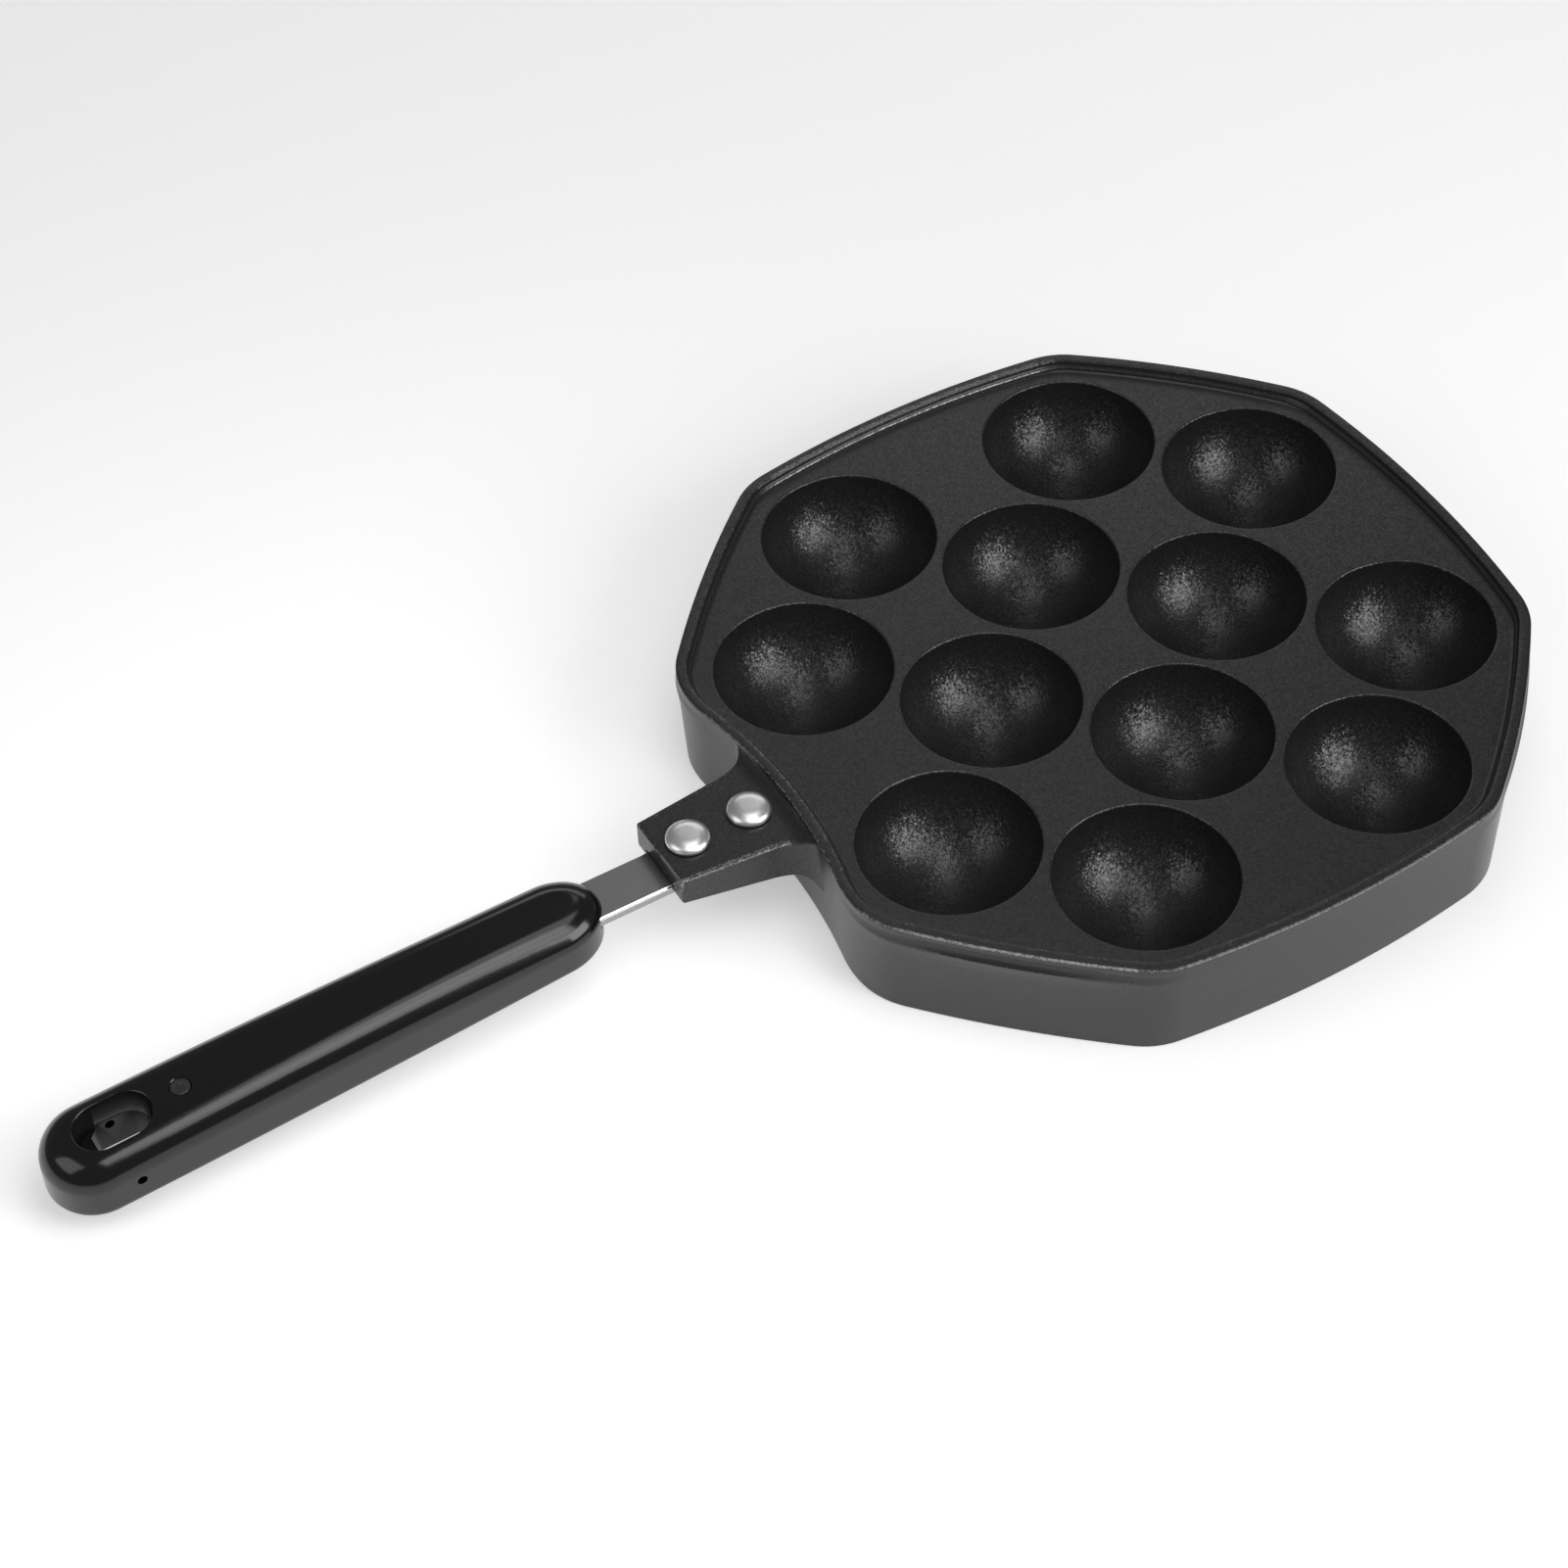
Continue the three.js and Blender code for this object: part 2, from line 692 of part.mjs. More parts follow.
const coating = new THREE.MeshStandardMaterial({ color: 0x2e2e2e, roughness: 0.55, metalness: 0.2 });
const steel = new THREE.MeshStandardMaterial({ color: 0x8c8c8c, roughness: 0.35, metalness: 1 });
const brightSteel = new THREE.MeshStandardMaterial({ color: 0xdcdcdc, roughness: 0.15, metalness: 1 });
const phenolic = new THREE.MeshStandardMaterial({ color: 0x1a1a1a, roughness: 0.2, metalness: 0 });
const darkSteel = new THREE.MeshStandardMaterial({ color: 0x3a3a3a, roughness: 0.7, metalness: 0.6 });

function named(name, solid, material) {
  const mesh = new THREE.Mesh(geometryFrom(solid), material);
  mesh.name = name;
  return mesh;
}

const takoyakiPan = new THREE.Group();
takoyakiPan.add(named('pan_body', panBody(), coating));
takoyakiPan.add(named('handle_tang', handleTang(), steel));
for (const [name, x] of Object.entries(rivetPlaces)) {
  takoyakiPan.add(named(name, rivet(x), brightSteel));
}
takoyakiPan.add(named('handle_grip', handleGrip(), phenolic));
takoyakiPan.add(named('grip_pin', turned(pinProfile(0, 0), holeSides, pinX, 0), darkSteel));

takoyakiPan.position.x = -(frontReach + gripEndX) / 2;

export default takoyakiPan;
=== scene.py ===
"""Studio scene of a takoyaki pan: a coated casting with twelve cups, a riveted steel tang, a moulded grip.

Sizes are millimetres in the pan's own axes (x = 0 at the pan's centre, z = 0 at the floor, the handle
towards minus X). They are turned to metres in the shared frame when a mesh is made.
"""

from __future__ import annotations

import logging
import math
from abc import ABC, abstractmethod
from collections.abc import Callable, Iterable, Sequence
from dataclasses import dataclass, field
from enum import Enum

import bmesh
import bpy
import numpy as np
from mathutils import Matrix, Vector
from mathutils.geometry import delaunay_2d_cdt

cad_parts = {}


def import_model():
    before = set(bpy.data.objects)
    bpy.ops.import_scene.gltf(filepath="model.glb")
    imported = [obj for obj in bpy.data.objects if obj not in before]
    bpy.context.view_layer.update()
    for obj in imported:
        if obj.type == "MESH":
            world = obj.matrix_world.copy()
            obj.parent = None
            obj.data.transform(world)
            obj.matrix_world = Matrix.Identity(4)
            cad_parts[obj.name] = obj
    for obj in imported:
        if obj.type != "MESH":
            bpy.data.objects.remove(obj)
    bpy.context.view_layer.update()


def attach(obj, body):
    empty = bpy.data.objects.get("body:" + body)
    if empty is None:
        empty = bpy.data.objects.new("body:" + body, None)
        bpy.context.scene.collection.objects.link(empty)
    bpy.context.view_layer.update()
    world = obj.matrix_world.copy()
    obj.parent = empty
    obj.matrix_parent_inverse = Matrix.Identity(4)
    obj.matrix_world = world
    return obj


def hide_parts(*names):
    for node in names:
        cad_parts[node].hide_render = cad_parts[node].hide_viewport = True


log = logging.getLogger("takoyaki_pan")

# One millimetre in the shared frame, and the pan's centre in it (mm)
MM = 0.001
PAN_CENTRE_X = 91.375
# A quarter turn
QUARTER = math.pi / 2
# How far the middle of a rounded edge of radius 1 lies from each of its faces
SOFT = 1 - math.sqrt(0.5)
WHITE = (1.0, 1.0, 1.0, 1.0)


class Cut(Enum):
    """How one solid changes another."""

    JOIN = "UNION"
    REMOVE = "DIFFERENCE"


class Edge(Enum):
    """Edges of the casting where the coating is worn; on some of them the worn dots also paint a highlight
    line where the rounded edge catches light.
    """

    NONE = "none"
    RIM_OUTER = "rim_outer"
    RIM_INNER = "rim_inner"
    STEP = "step"
    RIDGE = "ridge"
    BAND = "band"
    FOOT = "foot"


def linear_colour(code: str) -> tuple[float, float, float, float]:
    """Turn an sRGB hex colour into linear values.

    Args:
        code: Six hex digits after a hash sign.

    Returns:
        Linear red, green, blue and full alpha.
    """
    parts = [int(code[i : i + 2], 16) / 255 for i in (1, 3, 5)]
    low_limit, slope = 0.04045, 12.92
    linear = [c / slope if c <= low_limit else ((c + 0.055) / 1.055) ** 2.4 for c in parts]
    return (*linear, 1.0)


def add_node(
    tree: bpy.types.NodeTree, kind: str, inputs: dict[str | int, object] | None = None, **settings: object
) -> bpy.types.Node:
    """Add a node with its settings, input values and incoming links.

    Args:
        tree: Node tree that gets the node.
        kind: Blender's type name of the node.
        inputs: Socket name or number to a value, or to the output socket that feeds it.
        settings: Properties of the node.

    Returns:
        The new node.
    """
    node = tree.nodes.new(kind)
    for name, value in settings.items():
        setattr(node, name, value)
    for name, value in (inputs or {}).items():
        if isinstance(value, bpy.types.NodeSocket):
            tree.links.new(value, node.inputs[name])
        else:
            node.inputs[name].default_value = value
    return node


def per_metre(size_mm: float) -> float:
    """Noise scale whose cells are about size_mm wide."""
    return 1 / (size_mm * MM)


def crossing(
    point_a: np.ndarray, way_a: np.ndarray, point_b: np.ndarray, way_b: np.ndarray
) -> np.ndarray:
    """Point where two lines in the plane meet."""
    steps = np.linalg.solve(np.array([way_a, -way_b]).T, point_b - point_a)
    return point_a + way_a * steps[0]


@dataclass(frozen=True)
class Side:
    """One of the pan's eight sides: reach and outward bow at the rim, draft and bow at the foot.

    ledge tells whether the wall stands out in a ledge under the rim.
    """

    reach: float
    bow: float
    draft: float
    foot_bow: float
    ledge: bool = False


@dataclass(frozen=True)
class Loop:
    """A closed outline: its points, and for each the side it is on and its station there from -1 to 1."""

    points: np.ndarray
    side: np.ndarray
    station: np.ndarray


@dataclass(frozen=True)
class PanOutline:
    """The pan's rounded eight-sided outline."""

    front: Side = Side(96.0, 3.85, 1.6, 3.85)
    front_diagonal: Side = Side(99.8, 2.1, 1.1, 0.7, ledge=True)
    flank: Side = Side(96.5, 3.9, 1.7, 3.75)
    rear_diagonal: Side = Side(100.1, 2.1, 1.5, 1.8, ledge=True)
    handle: Side = Side(90.5, -6.35, 1.1, -5.9)
    corner_radius: float = 22.0
    side_steps: int = 40
    corner_steps: int = 12

    @property
    def sides(self) -> tuple[Side, ...]:
        """List the sides counterclockwise from the front, 45 degrees apart.

        Returns:
            The eight sides.
        """
        return (
            self.front, self.front_diagonal, self.flank, self.rear_diagonal,
            self.handle, self.rear_diagonal, self.flank, self.front_diagonal,
        )

    def loop(self, share: float, inset: float = 0.0, swell: float | None = None) -> Loop:
        """Outline at a share of the way down from the rim to the foot.

        Args:
            share: 0 at the rim and 1 at the foot.
            inset: How far the outline is moved in.
            swell: On the diagonal sides, how far it stands out of the rim line instead, or None.

        Returns:
            The closed outline.
        """
        count = len(self.sides)
        reaches, bows = [], []
        for side in self.sides:
            swollen = swell is not None and side.ledge
            bows.append(side.bow + swell if swollen else side.bow + (side.foot_bow - side.bow) * share)
            reaches.append(side.reach + swell if swollen else side.reach - side.draft * share)
        turns = np.arange(count) * math.pi / 4
        normals = np.stack([np.cos(turns), np.sin(turns)], axis=1)
        alongs = np.stack([-normals[:, 1], normals[:, 0]], axis=1)
        feet = normals * (np.array(reaches) - np.array(bows) - inset)[:, None]
        following = [(i + 1) % count for i in range(count)]
        corners = [crossing(feet[i], alongs[i], feet[j], alongs[j]) for i, j in enumerate(following)]
        middles = [(corners[i - 1] + corners[i]) / 2 for i in range(count)]
        halves = [np.linalg.norm(corners[i] - corners[i - 1]) / 2 for i in range(count)]

        def at(i: int, s: float) -> np.ndarray:
            """Point at a station of a side."""
            return middles[i] + alongs[i] * halves[i] * s + normals[i] * bows[i] * (1 - s * s)

        def heading(i: int, s: float) -> np.ndarray:
            """Direction of travel at a station of a side."""
            return alongs[i] * halves[i] - normals[i] * 2 * bows[i] * s

        trims = []
        for i, j in enumerate(following):
            leaving, entering = heading(i, 1), heading(j, -1)
            turn = math.atan2(
                leaving[0] * entering[1] - leaving[1] * entering[0], float(leaving @ entering)
            )
            trims.append((self.corner_radius - inset) * math.tan(turn / 2))
        points, owners, stations = [], [], []
        for i, j in enumerate(following):
            first, last = trims[i - 1] / halves[i] - 1, 1 - trims[i] / halves[i]
            enter_at = trims[i] / halves[j] - 1
            for s in np.linspace(first, last, self.side_steps, endpoint=False):
                points.append(at(i, s))
                owners.append(i)
                stations.append(s)
            leave, enter = at(i, last), at(j, enter_at)
            control = crossing(leave, heading(i, last), enter, heading(j, enter_at))
            for t in np.linspace(0, 1, self.corner_steps, endpoint=False):
                points.append((1 - t) ** 2 * leave + 2 * t * (1 - t) * control + t * t * enter)
                owners.append(i if t < 0.5 else j)
                stations.append(1.0 if t < 0.5 else -1.0)
        return Loop(np.array(points), np.array(owners), np.array(stations))


class Skin:
    """Points, faces and wear gathered ring by ring, then made into one Blender mesh."""

    def __init__(self) -> None:
        """Start with nothing."""
        self.points: list[tuple[float, float, float]] = []
        self.wear: list[float] = []
        self.outside: list[float] = []
        self.faces: list[tuple[int, ...]] = []

    def ring(
        self,
        xy: np.ndarray,
        height: float | np.ndarray,
        wear: float | np.ndarray = 0.0,
        outside: float = 0.0,
    ) -> np.ndarray:
        """Add a ring of points.

        Args:
            xy: Plan places, one row a point.
            height: One height, or one for each point.
            wear: One wear value, or one for each point.
            outside: 1 on the painted outer wall, 0 in the cups, and in between on the calm plate and rim.

        Returns:
            The points' numbers.
        """
        count, start = len(xy), len(self.points)
        heights, wears = np.broadcast_to(height, count), np.broadcast_to(wear, count)
        self.points += [(float(x), float(y), float(z)) for (x, y), z in zip(xy, heights)]
        self.wear += [float(w) for w in wears]
        self.outside += [outside] * count
        return np.arange(start, start + count)

    def bridge(self, first: np.ndarray, second: np.ndarray) -> None:
        """Join two rings of equal count with quads.

        Args:
            first: Numbers of one ring's points.
            second: Numbers of the next ring's points.
        """
        count = len(first)
        for i in range(count):
            j = (i + 1) % count
            self.faces.append((int(first[i]), int(first[j]), int(second[j]), int(second[i])))

    def stack(self, rings: Sequence[np.ndarray]) -> None:
        """Join each ring with the next."""
        for first, second in zip(rings, rings[1:]):
            self.bridge(first, second)

    def close(self, ring: np.ndarray) -> None:
        """Close a ring with one face."""
        self.faces.append(tuple(int(i) for i in ring))

    def solid(self, rings: Sequence[np.ndarray], name: str) -> bpy.types.Object:
        """Join rings into a solid with a flat face at each end.

        Args:
            rings: Numbers of each ring's points, in order.
            name: The object's name.

        Returns:
            The new object.
        """
        self.stack(rings)
        self.close(rings[0])
        self.close(rings[-1])
        return self.mesh(name)

    def close_across(self, ring: np.ndarray, tip: int) -> None:
        """Close a ring that mirrors itself with quads from side to side.

        Args:
            ring: Numbers of the ring's points.
            tip: Place in the ring of a point on the mirror line.
        """
        count = len(ring)
        for step in range(count // 2):
            places = (tip + step, tip + step + 1, tip - step - 1, tip - step)
            self.faces.append(tuple(dict.fromkeys(int(ring[i % count]) for i in places)))

    def point(self, ring: np.ndarray, x: float, y: float, z: float) -> None:
        """Close a ring with triangles that meet in one new point.

        Args:
            ring: Numbers of the ring's points.
            x: Place of the new point.
            y: Place of the new point.
            z: Height of the new point.
        """
        self.points.append((x, y, z))
        self.wear.append(0.0)
        self.outside.append(0.0)
        tip = len(self.points) - 1
        for i in range(len(ring)):
            self.faces.append((int(ring[i]), int(ring[(i + 1) % len(ring)]), tip))

    def fill(
        self, outer: np.ndarray, holes: Sequence[np.ndarray], in_hole: Callable[[float, float], bool]
    ) -> None:
        """Fill the flat area between an outer ring and inner rings with triangles.

        Args:
            outer: Numbers of the outer ring's points.
            holes: Numbers of each inner ring's points.
            in_hole: Tells whether a plan place lies inside a hole.
        """
        loops = [outer, *holes]
        numbers = np.concatenate(loops)
        flat = [Vector(self.points[i][:2]) for i in numbers]
        edges, start = [], 0
        for loop in loops:
            edges += [(start + i, start + (i + 1) % len(loop)) for i in range(len(loop))]
            start += len(loop)
        border = np.array([self.points[i][:2] for i in outer])
        same_place = 1e-6
        _, _, triangles, sources, _, _ = delaunay_2d_cdt(flat, edges, [], 0, same_place)
        for triangle in triangles:
            corners = [int(numbers[sources[i][0]]) for i in triangle]
            x, y = np.mean([self.points[i][:2] for i in corners], axis=0)
            if inside(border, x, y) and not in_hole(x, y):
                self.faces.append(tuple(corners))

    def mesh(self, name: str) -> bpy.types.Object:
        """Make one Blender object from what was gathered.

        Args:
            name: The object's name.

        Returns:
            The linked object, in metres in the shared frame.
        """
        data = bpy.data.meshes.new(name)
        data.from_pydata([to_frame(*p) for p in self.points], [], self.faces)
        for title, values in (("wear", self.wear), ("outside", self.outside)):
            attribute = data.attributes.new(title, "FLOAT", "POINT")
            attribute.data.foreach_set("value", np.array(values, np.float32))
        body = bmesh.new()
        body.from_mesh(data)
        same_place = 1e-7
        bmesh.ops.remove_doubles(body, verts=body.verts, dist=same_place)
        bmesh.ops.recalc_face_normals(body, faces=body.faces)
        body.to_mesh(data)
        body.free()
        made = bpy.data.objects.new(name, data)
        bpy.context.scene.collection.objects.link(made)
        return made


def inside(border: np.ndarray, x: float, y: float) -> bool:
    """Tell whether a plan place lies inside a closed border.

    Args:
        border: The border's points.
        x: The place.
        y: The place.

    Returns:
        True inside.
    """
    ax, ay = border[:, 0], border[:, 1]
    bx, by = np.roll(ax, -1), np.roll(ay, -1)
    spans = (ay > y) != (by > y)
    with np.errstate(divide="ignore", invalid="ignore"):
        cross_x = ax + (y - ay) / (by - ay) * (bx - ax)
    return bool(np.count_nonzero(spans & (x < cross_x)) % 2)


def to_frame(x: float, y: float, z: float) -> tuple[float, float, float]:
    """Move a place from the pan's axes in millimetres to the shared frame in metres."""
    return ((x + PAN_CENTRE_X) * MM, y * MM, z * MM)


def circle(radius: float, count: int, x: float = 0.0, y: float = 0.0) -> np.ndarray:
    """Plan places of a circle's points."""
    angle = np.arange(count) * 2 * math.pi / count
    return np.stack([x + radius * np.cos(angle), y + radius * np.sin(angle)], axis=1)


def lathe(
    name: str, profile: Sequence[tuple[float, float]], x: float, y: float, sides: int
) -> bpy.types.Object:
    """Turn a profile about an upright axis into a closed solid.

    Args:
        name: The object's name.
        profile: Radius and height pairs from the lowest to the highest end, neither on the axis.
        x: Place of the axis.
        y: Place of the axis.
        sides: Points round the axis.

    Returns:
        The new object.
    """
    skin = Skin()
    rings = [skin.ring(circle(radius, sides, x, y), height) for radius, height in profile]
    skin.stack(rings)
    skin.point(rings[0], x, y, profile[0][1])
    skin.point(rings[-1], x, y, profile[-1][1])
    return skin.mesh(name)


def carve(target: bpy.types.Object, tool: bpy.types.Object, cut: Cut) -> None:
    """Join a tool to a solid or take it away, and delete the tool.

    Args:
        target: Solid that changes.
        tool: Solid that is used up.
        cut: What is done.
    """
    modifier = target.modifiers.new("cut", "BOOLEAN")
    modifier.operation = cut.value
    modifier.solver = "MANIFOLD"
    modifier.object = tool
    graph = bpy.context.evaluated_depsgraph_get()
    made = bpy.data.meshes.new_from_object(target.evaluated_get(graph))
    target.modifiers.clear()
    old = target.data
    target.data = made
    bpy.data.meshes.remove(old)
    bpy.data.objects.remove(tool)


def finish_mesh(piece: bpy.types.Object, name: str, sharp_degrees: float = 34.0) -> None:
    """Shade a piece smooth, with sharp edges kept and flat faces kept flat.

    Args:
        piece: The object.
        name: Name for its mesh.
        sharp_degrees: Edges that turn more than this stay sharp.
    """
    body = bmesh.new()
    body.from_mesh(piece.data)
    for face in body.faces:
        face.smooth = True
    sharp = math.radians(sharp_degrees)
    for edge in body.edges:
        edge.smooth = len(edge.link_faces) == 2 and edge.calc_face_angle(0.0) < sharp
    body.to_mesh(piece.data)
    body.free()
    piece.data.name = name
    weighted = piece.modifiers.new("even shading", "WEIGHTED_NORMAL")
    weighted.keep_sharp = True
    large_faces_lead = 80
    weighted.weight = large_faces_lead


def place_piece(piece: bpy.types.Object, node: str, finish: bpy.types.Material) -> None:
    """Let a piece stand for its CAD node.

    Args:
        piece: The finished object.
        node: CAD node that it replaces.
        finish: Material that it gets.
    """
    piece.data.materials.clear()
    piece.data.materials.append(finish)
    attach(piece, "root")
    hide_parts(node)
    log.info("%s: %d faces, stands for %s", piece.name, len(piece.data.polygons), node)


class Finish(ABC):
    """A surface finish, made into one procedural material."""

    name: str

    def material(self) -> bpy.types.Material:
        """Build the material.

        Returns:
            The new material, named for what the surface is made of.
        """
        made = bpy.data.materials.new(self.name)
        made.use_nodes = True
        tree = made.node_tree
        tree.nodes.clear()
        place = add_node(tree, "ShaderNodeTexCoord").outputs["Object"]
        shader = self.surface(tree, place)
        add_node(tree, "ShaderNodeOutputMaterial", {"Surface": shader.outputs["BSDF"]})
        return made

    @abstractmethod
    def surface(self, tree: bpy.types.NodeTree, place: bpy.types.NodeSocket) -> bpy.types.Node:
        """Add the finish's own nodes.

        Args:
            tree: The material's node tree.
            place: Place on the piece, in metres.

        Returns:
            The shader node.
        """


@dataclass(frozen=True)
class NonStickCoating(Finish):
    """Sprayed non-stick coating on die-cast aluminium, with a smoother baked paint on the outer wall.

    It gives a near-black face with a fine grain that glitters where a lamp is mirrored, a calmer sheen
    outside, and dull uncoated metal in dots where edges have worn; along some edges these dots are also a
    painted highlight, lighter where the rounded edge would catch light. The real spray grain is about 0.2 mm
    wide, too fine to show, so the grain, the grit and the worn dots are drawn two to three times as coarse.
    """

    name: str = "cast aluminium, sprayed non-stick coating"
    dark: str = "#1c1d1d"
    light: str = "#232324"
    fleck: str = "#333334"
    # Colour of the worn dots: uncoated metal, and on some edges a painted highlight
    bare_metal_and_highlight: str = "#a9a9aa"
    roughness: float = 0.28
    outside_roughness: float = 0.32
    ior: float = 1.5
    # Soft relief of the sprayed coat
    grain_mm: float = 0.62
    grain_depth_mm: float = 0.07
    outside_grain_share: float = 0.12
    # Slow change of tone over the plate
    cloud_mm: float = 14.0
    # Paler flecks: fullest near a cell's middle, and gone at the rim
    fleck_mm: float = 0.806
    fleck_core: float = 0.08
    fleck_rim: float = 0.28
    fleck_cover: float = 0.6
    # Grit: cells that lean and shine each in their own way, which makes the glitter
    grit_mm: float = 0.45
    grit_tilt: float = 0.2
    grit_gloss: float = 0.7
    outside_grit_gloss: float = 0.06
    # Dots of uncoated metal where wear and a random value add up to enough; on some edges they are a painted
    # highlight line
    dot_mm: float = 0.6
    dots_from: float = 0.88
    dots_full: float = 1.2
    dots_cover: float = 0.7

    def surface(self, tree: bpy.types.NodeTree, place: bpy.types.NodeSocket) -> bpy.types.Node:
        """Add the coating's nodes.

        Args:
            tree: The material's node tree.
            place: Place on the piece, in metres.

        Returns:
            The shader node.
        """
        outside = add_node(tree, "ShaderNodeAttribute", attribute_name="outside").outputs["Fac"]
        worn = add_node(tree, "ShaderNodeAttribute", attribute_name="wear").outputs["Fac"]
        grain, cloud, dots = (
            add_node(
                tree, "ShaderNodeTexNoise",
                {"Vector": place, "Scale": per_metre(size), "Detail": detail, "Roughness": rough},
            ).outputs["Fac"]
            for size, detail, rough in (
                (self.grain_mm, 2.0, 0.5), (self.cloud_mm, 4.0, 0.55), (self.dot_mm, 2.0, 0.7)
            )
        )
        fleck, grit = (
            add_node(
                tree, "ShaderNodeTexVoronoi", {"Vector": place, "Scale": per_metre(size), "Randomness": 1.0}
            )
            for size in (self.fleck_mm, self.grit_mm)
        )
        fleck_mask = add_node(
            tree, "ShaderNodeMapRange",
            {
                "Value": fleck.outputs["Distance"], "From Min": self.fleck_core, "From Max": self.fleck_rim,
                "To Min": self.fleck_cover, "To Max": 0.0,
            },
            clamp=True,
        ).outputs["Result"]
        # Wear plus noise: real worn dots, and on some edges a painted highlight line
        wear_highlight_and_dots = add_node(tree, "ShaderNodeMath", {0: worn, 1: dots}, operation="ADD")
        bare_and_highlight_mask = add_node(
            tree, "ShaderNodeMapRange",
            {
                "Value": wear_highlight_and_dots.outputs["Value"], "From Min": self.dots_from, "From Max": self.dots_full,
                "To Min": 0.0, "To Max": self.dots_cover,
            },
            clamp=True,
        ).outputs["Result"]
        colour = linear_colour(self.dark)
        for factor, over in ((cloud, self.light), (fleck_mask, self.fleck), (bare_and_highlight_mask, self.bare_metal_and_highlight)):
            colour = add_node(
                tree, "ShaderNodeMix", {"Factor": factor, "A": colour, "B": linear_colour(over)},
                data_type="RGBA",
            ).outputs["Result"]
        grain_depth = self.grain_depth_mm * MM
        rough, depth, lean, spread = (
            add_node(
                tree, "ShaderNodeMapRange", {"Value": outside, "To Min": inner, "To Max": outer}
            ).outputs["Result"]
            for inner, outer in (
                (self.roughness, self.outside_roughness),
                (grain_depth, grain_depth * self.outside_grain_share),
                (self.grit_tilt, self.grit_tilt * self.outside_grain_share),
                (self.grit_gloss, self.outside_grit_gloss),
            )
        )
        # Each cell of the grit has a random colour. It leans the surface, and its green sets the gloss.
        off_centre = add_node(
            tree, "ShaderNodeVectorMath", {0: grit.outputs["Color"], 1: (0.5, 0.5, 0.5)},
            operation="SUBTRACT",
        )
        tilt = add_node(
            tree, "ShaderNodeVectorMath", {0: off_centre.outputs["Vector"], "Scale": lean}, operation="SCALE"
        )
        facing = add_node(tree, "ShaderNodeNewGeometry").outputs["Normal"]
        leaning = add_node(
            tree, "ShaderNodeVectorMath", {0: facing, 1: tilt.outputs["Vector"]}, operation="ADD"
        )
        facet = add_node(
            tree, "ShaderNodeVectorMath", {0: leaning.outputs["Vector"]}, operation="NORMALIZE"
        )
        bump = add_node(
            tree, "ShaderNodeBump",
            {"Height": grain, "Strength": 1.0, "Distance": depth, "Normal": facet.outputs["Vector"]},
        )
        chance = add_node(tree, "ShaderNodeSeparateColor", {"Color": grit.outputs["Color"]})
        above = add_node(tree, "ShaderNodeMath", {0: chance.outputs["Green"], 1: 0.5}, operation="SUBTRACT")
        gloss = add_node(
            tree, "ShaderNodeMath", {0: above.outputs["Value"], 1: spread, 2: 0.5}, operation="MULTIPLY_ADD"
        )
        return add_node(
            tree, "ShaderNodeBsdfPrincipled",
            {
                "Base Color": colour, "Metallic": bare_and_highlight_mask, "Roughness": rough, "IOR": self.ior,
                "Specular IOR Level": gloss.outputs["Value"], "Normal": bump.outputs["Normal"],
            },
        )


